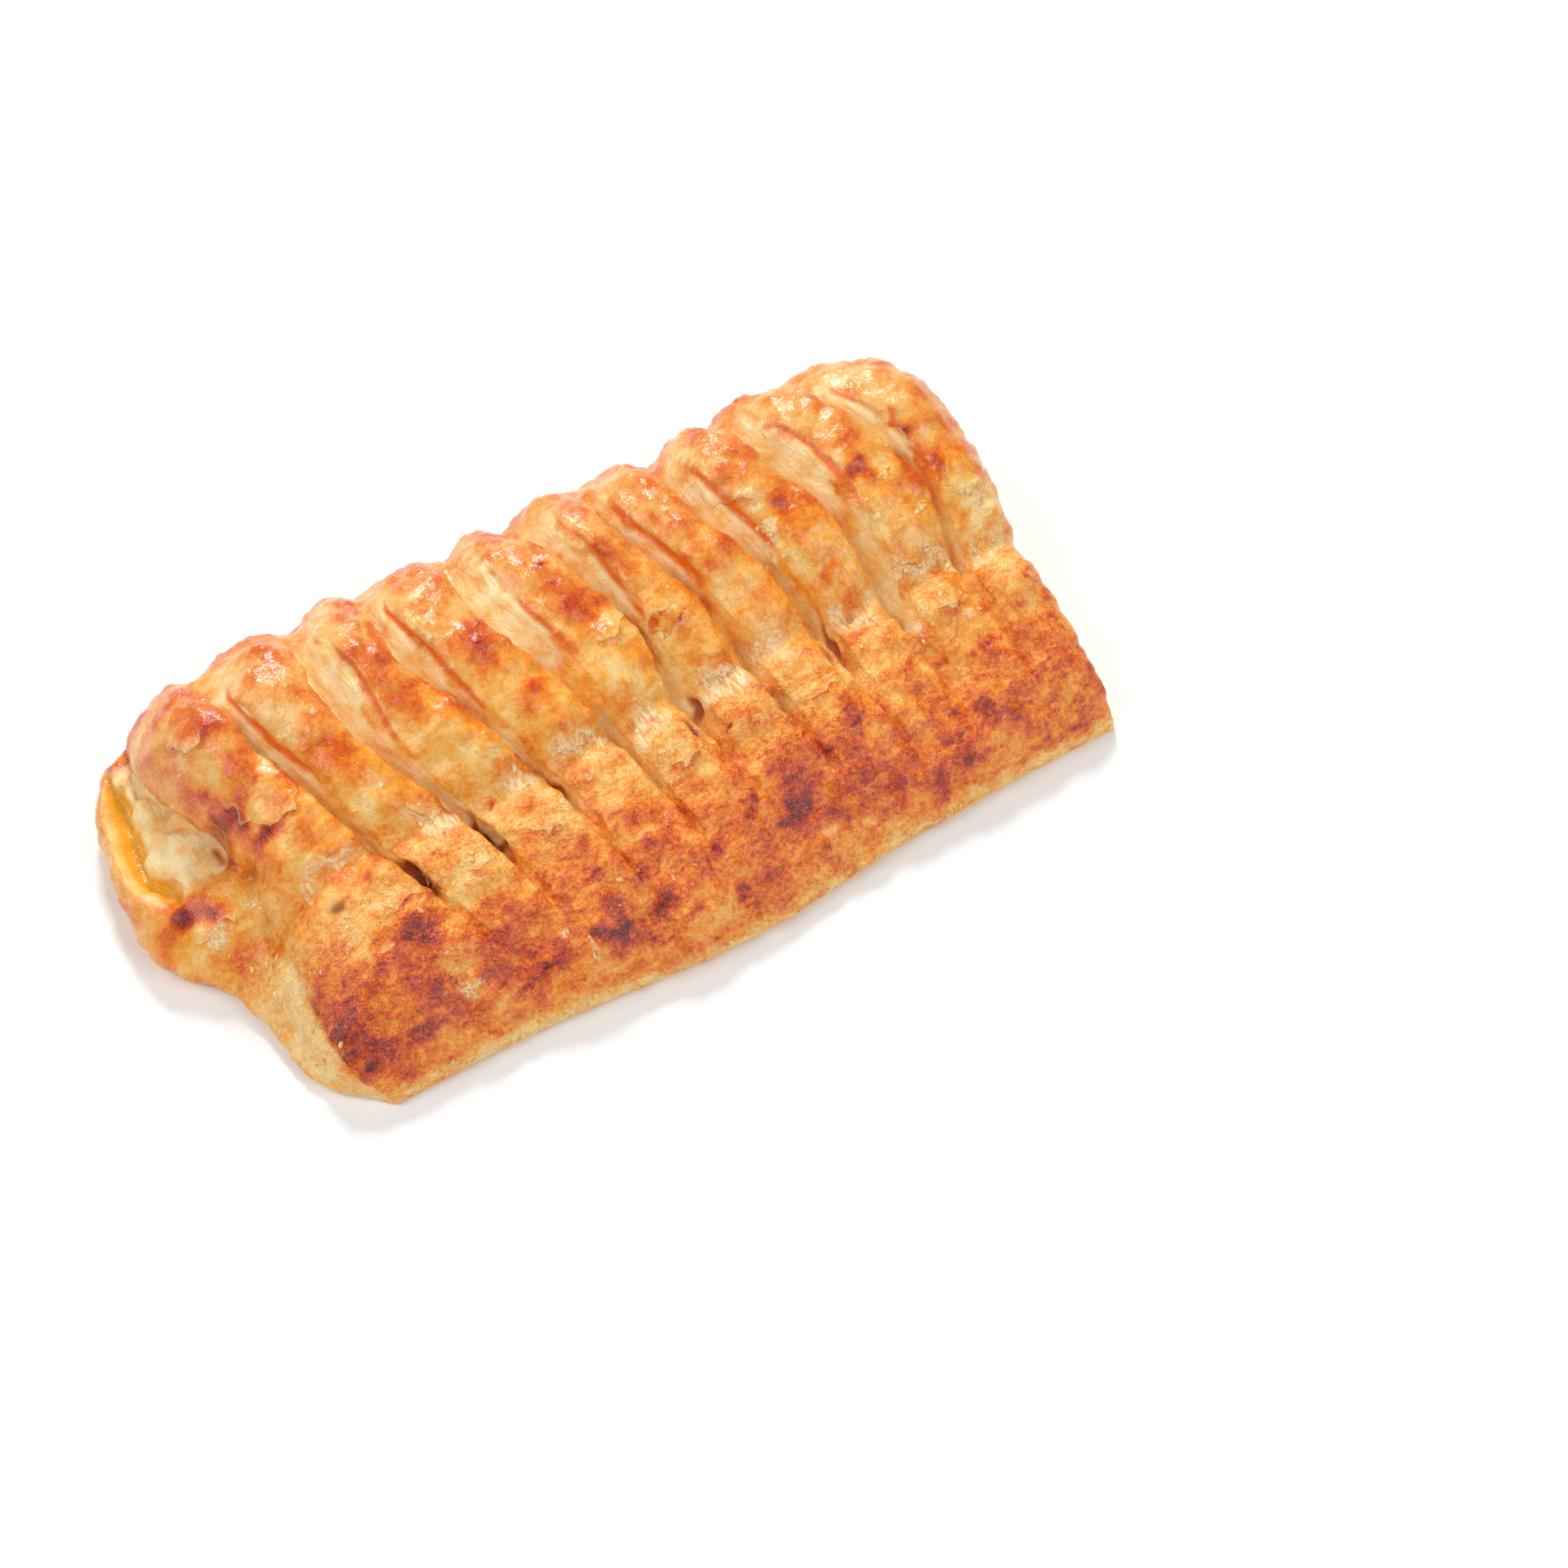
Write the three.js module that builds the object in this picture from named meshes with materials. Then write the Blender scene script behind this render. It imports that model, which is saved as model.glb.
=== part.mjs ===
// A baked chicken puff, in millimetres, standing on z = 0 with +Z up.
// One sheet of puff pastry is folded along its far long side over a filling.
// The upper half is slit into ten strips, which puff up over the filling, dip at a crease
// and run on into the flat pressed seam along the near long side.
// X runs along the length, the near seam is at -Y, and the open end with the mouth is at -X.
import * as THREE from "three";

// Driving dimensions of the dough
const restHeight = 0; // height of the face it rests on
const moundHeight = 32.8; // crown of the mound over the filling
const lipRadius = 1.6; // rounding of a strip's overhanging edge
const lipRoundness = 2.2; // 2 is a plain quarter circle, more is fuller
const lipOverhang = 0.14; // share of a slit's depth by which the edge leans over it
const overhangDepth = 4; // a slit deeper than this isn't overhung further
const overhangRise = 1.5; // above 1 the overhang sits nearer the slit
const crownRise = 2.3; // how far a strip bulges across its width
const crownSkew = 1.25; // above 1 the bulge sits nearer the strip's right edge
const crownLean = 0.3; // how much higher the right side of a strip stands, as a share of the bulge
const fullDepth = 3; // slit depth at which the bulge is full
const faceFloor = 0.15; // share of a cut face that lies flat as the slit's floor
const faceCurve = 1.35; // above 1 the cut face is hollow, and steeper at its top
const thinnestFace = 0.6;
const widestFace = 0.5; // shares of a strip's width that its face and its edge may take
const widestEdge = 0.35;
const firstFace = 0.3; // the first strip has no slit on its left
const creaseY = -7; // line where the strips dip before the seam
const creaseDepth = 2.3;
const creaseReach = 3.2;
const openingY = -12; // where the slits tear open into small dark holes
const openingReach = 3.6;
const foldStart = 30; // beyond this the strips merge into the fold
const foldLean = 0.35; // slant of the slits where they fade into the fold
const foldBegins = 25; // between these the slits turn into round valleys
const foldEnds = 33;
const foldValley = 6; // half width of such a valley
const leanFrom = 60; // slits further than this from the middle don't lean, nearer ones do more
const leanReach = 20;
const seamBow = 3.4; // outward bow of the near edge
const seamBowX = 4;
const seamBowReach = 28;
const seamBowEases = [-20, -38]; // the bow grows between these y
const lumpSize = 11; // spacing and height of the broad lumps of the crust
const lumpHeight = 1.1;
const blisterSize = 5; // spacing and height of the smaller blisters
const blisterHeight = 0.75;
const blisterShift = 40; // keeps the blisters from lining up with the lumps
const scatter = [127.1, 311.7, 74.7, 43758.5453]; // uneven values that make each lump its own height
const slopeStep = 0.01; // step along the cross section over which its slope is taken
const footHalfX = 52; // half sizes of the plain middle of the flat foot
const footHalfY = 20;
const cornerTuck = 1.2; // how far the foot's corners are drawn in
const footStep = 0.6; // length of the ends along the foot's two long edges
const footTaper = { left: 0.02, right: 0.01 }; // how much the ends narrow towards the foot
const lowest = 0.05; // nothing but the foot itself comes nearer to the floor
const endLowest = 0.03;
const endForms = [2, 14]; // the ends take their full form between these heights
const reliefFull = 6; // height above which the relief is at its full depth
const lumpsFade = [1, 6]; // heights between which lumps and blisters fade in
const blistersFade = [1, 5];

// Cross section from the near foot over the crown to the far foot, as [y, z]
const crossSection = [
  [-38.6, 0], [-39.2, 0.8], [-39.1, 2.2], [-38.2, 4.4], [-36.2, 7.4], [-32.8, 10.6], [-28, 13.8],
  [-20, 17.2], [-12, 20], [-6, 22.3], [0, 25.4], [8, 29], [16, 31.8], [23, moundHeight],
  [29, 32], [35, 28.6], [39.2, 23], [41.4, 16], [42.2, 8.5], [42.1, 3], [41.5, 0],
];

// Each slit's x and the width of the cut face beside it, at these five places across the puff:
// at the fold, on the mound, above the crease, at the crease and in the seam
const slitPlaces = [30, 18, 6, -8, -26];
const slits = [
  { x: [-56.8, -55, -50.6, -45, -36.5], face: [1.5, 2.2, 2.2, 1.5, 0.8], depth: 0.8, notch: 0.3, tear: 1.4 },
  { x: [-40.5, -41.5, -38, -30.3, -24.3], face: [2, 6.5, 4, 2, 1.2], depth: 1.0, notch: 1.2, tear: 2.2 },
  { x: [-28, -27.5, -21.8, -15.3, -10.3], face: [2.5, 4.5, 2.5, 2.2, 1], depth: 0.9, notch: 0.7, tear: 1.2 },
  { x: [-11.8, -12, -6.3, -1.4, 3], face: [4.5, 6.5, 5, 2, 1], depth: 1.0, notch: 1.2, tear: 0.5 },
  { x: [2.2, 6.3, 10.8, 11.2, 15.8], face: [5, 4, 2, 4, 1], depth: 0.9, notch: 1.2, tear: 2.6 },
  { x: [14.8, 17.3, 22, 24.8, 28.6], face: [2, 2.5, 2.5, 2.2, 1], depth: 0.9, notch: 0.3, tear: 1.2 },
  { x: [28.5, 29.3, 34.9, 38.5, 41.9], face: [2.5, 4.8, 3.2, 3.2, 1], depth: 1.0, notch: 1.3, tear: 2.2 },
  { x: [42.2, 45.4, 50, 51.5, 54.5], face: [3, 7, 5, 4.5, 2.5], depth: 1.15, notch: 1.2, tear: 1.5 },
  { x: [57.4, 63.2, 67.5, 66.7, 68.5], face: [3, 3, 2, 2, 1], depth: 0.7, notch: 0.4, tear: 0.0 },
];
const stripCount = slits.length + 1;

// Depth of a slit across the puff, before each slit's own share of it
const depthPlaces = [-32, -26, -20, -14, -8, 0, 12, 22, 30, 34, 42];
const slitDepth = [0, 0.6, 1.1, 1.7, 2.1, 2.4, 3, 3, 2.2, 1.3, 0.8];

// Open left end, at these places across the puff: the edge of the upper sheet (roof), the edge of
// the lower sheet that curls up as a lip, the height of that lip, the outermost belly below it,
// and the lump of puffed inner layers that fills the mouth
const mouthPlaces = [-41, -36, -28, -16, -8, -2, 4, 10, 16, 22, 29, 35, 39.5, 42.2];
const mouth = {
  roof: [-59, -63.6, -65.2, -64.6, -64.4, -64.2, -64, -65.8, -67.6, -70.2, -71.4, -70.6, -68, -61],
  lip: [-60, -66.4, -68.2, -69.6, -71, -74, -77.5, -79.2, -80.6, -80, -78.4, -76.4, -72.5, -62.4],
  lipHeight: [0.6, 3, 4, 5, 6, 8, 10.6, 10.4, 9.2, 9, 10.2, 11.5, 11, 4],
  belly: [-60.5, -66.8, -70.8, -72.4, -75, -79.4, -82.8, -83.2, -82.8, -82.2, -80.6, -78.4, -73.6, -62.6],
  lump: [-70, -70, -70, -70, -70, -70, -71, -73.6, -76, -75.6, -74.2, -73.4, -71.4, -62],
};
const mouthOpens = [4, 12]; // the mouth opens between these y
const mouthCloses = [39, 32]; // and closes again between these
const roofInset = 1.8; // inside the mouth the upper sheet's underside lies this far in and down
const roofThickness = 2.2;
const throatInset = 0.6; // below that the lump begins
const throatDrop = 3.9;
const lumpTop = 0.6; // the lump's top, as a share of the way out to its front, and its drop
const lumpTopDrop = 3.6;
const lumpRise = 1; // height of the lump's front above the lip
const grooveReach = 0.6; // the groove behind the lip reaches under the lump's front
const grooveDepth = 2.6;

const mouthShares = [0, 0.1, 0.22, 0.38, 0.52, 0.62, 0.7, 0.85, 1]; // places down the open end
const closedShares = [0, 0.15, 0.32, 0.54, 0.74, 0.88, 1]; // and down the closed parts of it
const closedBulge = 0.8;
const lipBelowRoof = 0.75; // the lip stays below this share of the roof's height
const bellyHeight = 0.45; // height of the belly as a share of the lip's
const footInset = 2.2; // how far the foot is drawn in under the belly

// Blunt right end: the edge of the upper sheet, and the shallow hollow of layers below it
const rightPlaces = [-41, -38, -30, -10, 0, 12, 20, 28, 35, 42];
const rightEdge = [78.5, 79.5, 79.6, 79.6, 81.5, 82, 81.5, 79.5, 75, 65];
const rightOpens = [-2, 8];
const rightCloses = [36, 28];
const rightShares = [0, 0.12, 0.3, 0.5, 0.68, 0.8, 0.9, 1]; // places down the right end
const rightHollow = [0, -1.4, -3, -2.4, -2.2, -0.4, 0.3, -1.2];
const rightPlain = [0, 0.2, -0.3, 0.3, 0, 0.3, 0.1, -1];

// The puff rounds down towards both ends: how far in that reaches and the share of the height
// left at the very end, on the mound and in the seam. The mound is a little fuller on the right
const endReach = { left: { mound: 24, seam: 15 }, right: { mound: 15, seam: 8 } };
const endHeight = { left: { mound: 0.53, seam: 0.6 }, right: { mound: 0.62, seam: 0.78 } };
const seamEases = [-4, -14]; // between these y the mound gives way to the seam
const leftFullness = 0.95;
const leftFullnessEases = [-60, -10];
const rightFullness = 0.07;
const rightFullnessEases = [10, 66];
const fullnessEases = [-12, 10];

// Fineness of the surface
const rowCount = 42; // across the puff, over the top
const faceSteps = 3; // per strip: on its cut face, on its crown and on its rounded edge
const crownSteps = 4;
const edgeSteps = 3;

function mix(a, b, share) {
  return a + (b - a) * share;
}

function clamp(value, low, high) {
  return Math.min(Math.max(value, low), high);
}

// 0 at one value, 1 at the other, eased at both ends
function ease(from, to, value) {
  const share = clamp((value - from) / (to - from), 0, 1);
  return share * share * (3 - 2 * share);
}

// 1 inside a span that opens and closes gently
function span(opens, closes, value) {
  return ease(opens[0], opens[1], value) * ease(closes[0], closes[1], value);
}

// A bell of height 1 at its middle
function bell(value, middle, reach) {
  return Math.exp(-(((value - middle) / reach) ** 2));
}

// Smooth curve through values given at rising or falling places, straight beyond its ends
function through(places, values, at) {
  const rising = places[0] < places[places.length - 1];
  const place = rising ? places : [...places].reverse();
  const value = rising ? values : [...values].reverse();
  const last = place.length - 1;
  const step = (i) => (value[i + 1] - value[i]) / (place[i + 1] - place[i]);
  const slope = (i) => (i === 0 ? step(0) : i === last ? step(last - 1) : (step(i - 1) + step(i)) / 2);
  if (at <= place[0]) {
    return value[0] + (at - place[0]) * slope(0);
  }
  if (at >= place[last]) {
    return value[last] + (at - place[last]) * slope(last);
  }
  let i = 0;
  while (place[i + 1] < at) {
    i += 1;
  }
  const gap = place[i + 1] - place[i];
  const t = (at - place[i]) / gap;
  const start = (1 + 2 * t) * (1 - t) ** 2 * value[i] + t * (1 - t) ** 2 * gap * slope(i);
  const end = t * t * (3 - 2 * t) * value[i + 1] + t * t * (t - 1) * gap * slope(i + 1);
  return start + end;
}

// Unevenness of hand-made dough: a fixed random value at each corner of a lattice, eased between
function unevenness(x, y, z, size) {
  const corner = (i, j, k) => {
    const wave = Math.sin(i * scatter[0] + j * scatter[1] + k * scatter[2]) * scatter[3];
    return wave - Math.floor(wave);
  };
  const cell = [x / size, y / size, z / size].map(Math.floor);
  const [u, v, w] = [x, y, z].map((value, axis) => ease(0, 1, value / size - cell[axis]));
  let sum = 0;
  for (const a of [0, 1]) {
    for (const b of [0, 1]) {
      for (const c of [0, 1]) {
        const weight = (a ? u : 1 - u) * (b ? v : 1 - v) * (c ? w : 1 - w);
        sum += weight * corner(cell[0] + a, cell[1] + b, cell[2] + c);
      }
    }
  }
  return 2 * sum - 1;
}

// Points evenly spaced along the cross section, each with its outward direction and the place
// across the puff that shapes its ends: below its widest points the puff ends where they do
function crossSectionRows(count) {
  const run = [0];
  for (let i = 1; i < crossSection.length; i += 1) {
    const [y0, z0] = crossSection[i - 1];
    const [y1, z1] = crossSection[i];
    run.push(run[i - 1] + Math.hypot(y1 - y0, z1 - z0));
  }
  const total = run[run.length - 1];
  const ys = crossSection.map((point) => point[0]);
  const zs = crossSection.map((point) => point[1]);
  const nearest = Math.min(...ys);
  const farthest = Math.max(...ys);
  const nearRun = run[ys.indexOf(nearest)];
  const farRun = run[ys.indexOf(farthest)];
  return Array.from({ length: count }, (_, j) => {
    const at = (total * j) / (count - 1);
    const y = through(run, ys, at);
    const z = j === 0 || j === count - 1 ? restHeight : Math.max(through(run, zs, at), restHeight);
    const dy = through(run, ys, at + slopeStep) - through(run, ys, at - slopeStep);
    const dz = through(run, zs, at + slopeStep) - through(run, zs, at - slopeStep);
    const length = Math.hypot(dy, dz);
    const across = at < nearRun ? nearest : at > farRun ? farthest : y;
    const below = at < nearRun ? 1 - at / nearRun : clamp((at - farRun) / (total - farRun), 0, 1);
    return { y, z, across, tuck: cornerTuck * below ** 2, outY: -dz / length, outZ: dy / length };
  });
}

// Where slit number k runs on a row; past the fold all slits lean the same way
function slitX(k, y) {
  const middle = slits[k].x.reduce((sum, x) => sum + x, 0) / slitPlaces.length;
  const share = clamp((leanFrom - Math.abs(middle)) / leanReach, 0, 1);
  const lean = foldLean * Math.max(y - foldStart, 0) * share;
  return through(slitPlaces, slits[k].x, y) + lean;
}

function slitDepthAt(k, y) {
  const slit = slits[k];
  const share = mix(slit.depth, slit.notch, ease(foldBegins, foldEnds, y));
  const tear = slit.tear * bell(y, openingY, openingReach);
  return Math.max(through(depthPlaces, slitDepth, y), 0) * share + tear;
}

// Share of the cross section's height that is left at x
function heightShare(x, y) {
  const seam = ease(...seamEases, y);
  const rounded = (away, reach, height) => {
    const share = clamp(away / mix(reach.mound, reach.seam, seam), 0, 1);
    return mix(mix(height.mound, height.seam, seam), 1, Math.sqrt(1 - (1 - share) ** 2));
  };
  const left = rounded(x - through(mouthPlaces, mouth.roof, y), endReach.left, endHeight.left);
  const right = rounded(through(rightPlaces, rightEdge, y) - x, endReach.right, endHeight.right);
  const onLeft = mix(leftFullness, 1, ease(...leftFullnessEases, x));
  const onRight = rightFullness * ease(...rightFullnessEases, x);
  return left * right * mix(1, onLeft + onRight, ease(...fullnessEases, y));
}

// Width of the cut face beside a slit, and a sliver on the first strip, which has none
function faceWidthAt(k, y) {
  if (k < 0) {
    return firstFace;
  }
  const within = clamp(y, slitPlaces[slitPlaces.length - 1], slitPlaces[0]);
  return Math.max(through(slitPlaces, slits[k].face, within), thinnestFace);
}

// One row's places along X, strip by strip, with the relief of the strips at each. The row's ends
// are drawn in by the tuck, which rounds the corners of the foot. A strip has a narrow floor
// and a slanting cut face on its left, a domed crown, and an edge that rounds over the next slit
function rowAcrossStrips(y, tuck) {
  const points = [];
  for (let i = 0; i < stripCount; i += 1) {
    const first = i === 0;
    const last = i === stripCount - 1;
    const start = first ? through(mouthPlaces, mouth.roof, y) + tuck : slitX(i - 1, y);
    const end = last ? through(rightPlaces, rightEdge, y) - tuck : slitX(i, y);
    const width = end - start;
    const startDepth = first ? 0 : slitDepthAt(i - 1, y);
    const endDepth = last ? 0 : slitDepthAt(i, y);
    const fold = ease(foldBegins, foldEnds, y);
    const foldFace = first ? firstFace : foldValley;
    const face = Math.min(mix(faceWidthAt(i - 1, y), foldFace, fold), width * widestFace);
    const edge = Math.min(mix(lipRadius, foldValley, fold), width * widestEdge);
    const bulge = clamp(through(depthPlaces, slitDepth, y) / fullDepth, 0, 1) * crownRise;
    const places = [];
    for (let n = 0; n < faceSteps; n += 1) {
      places.push((face * n) / faceSteps);
    }
    for (let n = 0; n < crownSteps; n += 1) {
      places.push(face + ((width - face - edge) * n) / crownSteps);
    }
    for (let n = 0; n < edgeSteps + (last ? 1 : 0); n += 1) {
      places.push(width - edge + (edge * n) / edgeSteps);
    }
    for (const place of places) {
      const up = clamp((place / face - faceFloor) / (1 - faceFloor), 0, 1);
      const faceDrop = startDepth * (1 - mix(up ** faceCurve, ease(0, 1, up), fold));
      const round = clamp(1 - (width - place) / edge, 0, 1);
      const wall = 1 - (1 - round ** lipRoundness) ** (1 / lipRoundness);
      const edgeDrop = (endDepth + crownLean * bulge) * mix(wall, ease(0, 1, round), fold);
      const lean = lipOverhang * Math.min(endDepth, overhangDepth) * (1 - fold);
      const overhang = lean * Math.sin(Math.PI * round ** overhangRise);
      const across = place / width;
      const crown = bulge * (1 - (2 * across ** crownSkew - 1) ** 2 + crownLean * across);
      points.push({ x: start + place + overhang, relief: crown - faceDrop - edgeDrop });
    }
  }
  return points;
}

// The whole upper surface, as rows of points over the top from the near foot to the far foot
function upperSurface() {
  return crossSectionRows(rowCount).map((row) => {
    const raised = clamp(row.z / reliefFull, 0, 1);
    const bow = seamBow * ease(...seamBowEases, row.y);
    return rowAcrossStrips(row.across, row.tuck).map(({ x, relief }) => {
      const dip = creaseDepth * bell(row.y, creaseY, creaseReach);
      const lumps = lumpHeight * unevenness(x, row.y, row.z, lumpSize) * ease(...lumpsFade, row.z);
      const blister = unevenness(x + blisterShift, row.y, row.z, blisterSize);
      const blisters = blisterHeight * blister * ease(...blistersFade, row.z);
      const out = (relief - dip + lumps + blisters) * raised;
      const y = row.y + row.outY * out - bow * bell(x, seamBowX, seamBowReach);
      const z = row.z * heightShare(x, row.across) + row.outZ * out;
      const onFloor = row.z <= restHeight;
      return new THREE.Vector3(x, y, onFloor ? restHeight : Math.max(z, lowest));
    });
  });
}

// Left end, one column for each row: from the roof's edge under it, over the lump of layers,
// down into the groove behind the lip, over the lip and down its belly to the foot
function mouthColumns(rows, sections) {
  return rows.map((row, j) => {
    const { across: y, z: sectionHeight } = sections[j];
    const edge = row[0];
    const low = ease(...endForms, sectionHeight);
    const at = (values) => through(mouthPlaces, values, y);
    const [lip, belly, lump] = [at(mouth.lip), at(mouth.belly), at(mouth.lump)];
    const lipZ = Math.min(at(mouth.lipHeight), edge.z * lipBelowRoof);
    const open = [
      [edge.x, edge.z],
      [edge.x + roofInset, edge.z - roofThickness],
      [edge.x + throatInset, edge.z - throatDrop],
      [mix(edge.x, lump, lumpTop), edge.z - lumpTopDrop],
      [lump, lipZ + lumpRise],
      [lump - grooveReach, lipZ - grooveDepth],
      [lip, lipZ],
    ];
    const closedX = closedShares.map((share) => mix(edge.x, lip, share));
    const bulge = closedBulge * low;
    const closedZ = closedShares.map((share) => mix(edge.z, lipZ, share) + bulge * Math.sin(Math.PI * share));
    const openness = span(mouthOpens, mouthCloses, y) * low;
    const xs = closedX.map((x, n) => mix(x, open[n][0], openness)).concat(belly, belly + footInset);
    const zs = closedZ.map((z, n) => mix(z, open[n][1], openness)).concat(lipZ * bellyHeight, restHeight);
    return mouthShares.map((share, n) => {
      const flatX = edge.x - footStep * share;
      const foot = n === mouthShares.length - 1 || sectionHeight <= restHeight;
      const x = n === 0 ? edge.x : mix(flatX, xs[n], low);
      const z = foot ? restHeight : Math.max(zs[n], endLowest);
      return new THREE.Vector3(x, edge.y * (1 - footTaper.left * share), z);
    });
  });
}

// Right end, one column for each row: the upper sheet's edge, a shallow hollow of layers, the
// lower sheet's edge and the foot
function rightColumns(rows, sections) {
  return rows.map((row, j) => {
    const { across: y, z: sectionHeight } = sections[j];
    const edge = row[row.length - 1];
    const low = ease(...endForms, sectionHeight);
    const openness = span(rightOpens, rightCloses, y);
    return rightShares.map((share, n) => {
      const foot = n === rightShares.length - 1 || sectionHeight <= restHeight;
      const reach = mix(rightPlain[n], rightHollow[n], openness) * low + (1 - low) * footStep * share;
      const z = foot ? restHeight : Math.max(edge.z * (1 - share), endLowest);
      return new THREE.Vector3(edge.x + reach, edge.y * (1 - footTaper.right * share), z);
    });
  });
}

// Flat foot: a plain rectangle in the middle, joined all round to the outline, facing down.
// Each outline corner meets the rectangle's corner in its own quarter of the foot
function footTriangles(outline, corners, number) {
  const quarters = [[-1, -1], [1, -1], [1, 1], [-1, 1]];
  const inner = quarters.map(([x, y]) => number(new THREE.Vector3(x * footHalfX, y * footHalfY, restHeight)));
  const quarterOf = (n) => (corners[n].y < 0 ? (corners[n].x < 0 ? 0 : 1) : corners[n].x < 0 ? 3 : 2);
  const triangles = [inner[0], inner[2], inner[1], inner[0], inner[3], inner[2]];
  outline.forEach((from, i) => {
    const to = outline[(i + 1) % outline.length];
    const own = inner[quarterOf(from)];
    const next = inner[quarterOf(to)];
    triangles.push(from, own, to);
    if (own !== next) {
      triangles.push(to, own, next);
    }
  });
  return triangles;
}

// One closed body: the upper surface, both ends and the flat foot, with shared corners
function pastryGeometry() {
  const corners = [];
  const triangles = [];
  const number = (point) => corners.push(point) - 1;
  const sections = crossSectionRows(rowCount);
  const rows = upperSurface();
  const top = rows.map((row) => row.map(number));
  const numberEnd = (columns, edgeOf) =>
    columns.map((column, j) => column.map((point, n) => (n === 0 ? edgeOf(top[j]) : number(point))));
  const left = numberEnd(mouthColumns(rows, sections), (row) => row[0]);
  const right = numberEnd(rightColumns(rows, sections), (row) => row[row.length - 1]);

  const sheet = (grid, flipped) => {
    for (let j = 0; j + 1 < grid.length; j += 1) {
      for (let i = 0; i + 1 < grid[j].length; i += 1) {
        const [a, b, c, d] = [grid[j][i], grid[j][i + 1], grid[j + 1][i + 1], grid[j + 1][i]];
        triangles.push(...(flipped ? [a, c, b, a, d, c] : [a, b, c, a, c, d]));
      }
    }
  };
  sheet(top, false);
  sheet(left, true);
  sheet(right, false);

  const lastRow = top.length - 1;
  const leftFoot = left.map((column) => column[column.length - 1]);
  const rightFoot = right.map((column) => column[column.length - 1]);
  const outline = [
    ...top[0],
    ...right[0].slice(1),
    ...rightFoot.slice(1),
    ...right[lastRow].slice(0, -1).reverse(),
    ...top[lastRow].slice(0, -1).reverse(),
    ...left[lastRow].slice(1),
    ...leftFoot.slice(0, -1).reverse(),
    ...left[0].slice(1, -1).reverse(),
  ];
  triangles.push(...footTriangles(outline, corners, number));

  const geometry = new THREE.BufferGeometry().setFromPoints(corners);
  geometry.setIndex(triangles);
  geometry.computeBoundingBox();
  const middle = geometry.boundingBox.getCenter(new THREE.Vector3());
  geometry.translate(-middle.x, -middle.y, 0);
  geometry.computeVertexNormals();
  return geometry;
}

const bakedCrust = new THREE.MeshStandardMaterial({ color: 0xdf9448, roughness: 0.45, metalness: 0 });

const pastry = new THREE.Mesh(pastryGeometry(), bakedCrust);
pastry.name = "pastry";

const puff = new THREE.Group();
puff.add(pastry);

export default puff;
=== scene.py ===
import itertools
import math

import bpy
import numpy as np
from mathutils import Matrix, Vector


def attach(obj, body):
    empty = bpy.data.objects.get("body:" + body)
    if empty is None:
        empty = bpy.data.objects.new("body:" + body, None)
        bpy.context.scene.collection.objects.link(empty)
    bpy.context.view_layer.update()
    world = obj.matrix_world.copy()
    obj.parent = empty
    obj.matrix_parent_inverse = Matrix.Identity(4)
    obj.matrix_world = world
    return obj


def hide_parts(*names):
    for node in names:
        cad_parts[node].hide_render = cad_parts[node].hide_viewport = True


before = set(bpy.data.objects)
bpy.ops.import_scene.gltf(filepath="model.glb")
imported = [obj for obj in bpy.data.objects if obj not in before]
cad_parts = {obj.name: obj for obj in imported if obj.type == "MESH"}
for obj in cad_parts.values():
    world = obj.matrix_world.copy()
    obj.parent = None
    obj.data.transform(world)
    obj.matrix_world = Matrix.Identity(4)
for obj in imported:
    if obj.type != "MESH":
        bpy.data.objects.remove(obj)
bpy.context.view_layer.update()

# The view. A long lens looks down on the puff from the front left, from the side of its open end.
# The angles, the distance in millimetres and the lens were fitted to the puff's own corners.
MM = 0.001
VIEW_TURN = math.radians(-31.67)
VIEW_RISE = math.radians(56)
VIEW_DISTANCE = 563.6
VIEW_TARGET = (20.1, -27.8, 15)
VIEW_LENS = 78
VIEW_SENSOR = 36
VIEW_NEAREST = 10


def add_object(name, data):
    thing = bpy.data.objects.new(name, data)
    bpy.context.scene.collection.objects.link(thing)
    return thing


def add_camera():
    data = bpy.data.cameras.new("view")
    data.lens = VIEW_LENS
    data.sensor_width = VIEW_SENSOR
    data.clip_start = VIEW_NEAREST * MM
    camera = add_object("view", data)
    back = Vector((
        math.cos(VIEW_RISE) * math.sin(VIEW_TURN),
        -math.cos(VIEW_RISE) * math.cos(VIEW_TURN),
        math.sin(VIEW_RISE),
    ))
    camera.location = (Vector(VIEW_TARGET) + back * VIEW_DISTANCE) * MM
    camera.rotation_euler = back.to_track_quat("Z", "Y").to_euler()
    bpy.context.scene.camera = camera


add_camera()


# The pastry. One sheet of puff dough is folded along its far side over a filling, slit across its
# top into ten strips and pressed flat along its near side. It is one closed skin, shaped by rule
# from a cross section, the run of each slit and the outlines of its two ends, all in millimetres.
CROSS_SECTION = np.array([
    [-38.6, 0], [-39.2, 0.8], [-39.1, 2.2], [-38.2, 4.4], [-36.2, 7.4], [-32.8, 10.6], [-28, 13.8],
    [-20, 17.2], [-12, 20], [-6, 22.3], [0, 25.4], [8, 29], [16, 31.8], [23, 32.8],
    [29, 32], [35, 28.6], [39.2, 23], [41.4, 16], [42.2, 8.5], [42.1, 3], [41.5, 0],
])
LIP_RADIUS = 1.6
CROWN_RISE = 2.3
CROWN_SKEW = 1.25
CROWN_LEAN = 0.3
CREASE_Y = -7
CREASE_DEPTH = 2.3
CREASE_REACH = 3.2
OPENING_Y = -12
OPENING_REACH = 3.6
LEAST_FACE = 0.6
PLAIN_START = 0.3
OPEN_DEPTH = 2.8
FOLD_FADE = (25, 33)
FOLD_START = 30
FOLD_LEAN = 0.35
FOLD_LEAN_FADE = (60, 40)
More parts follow.
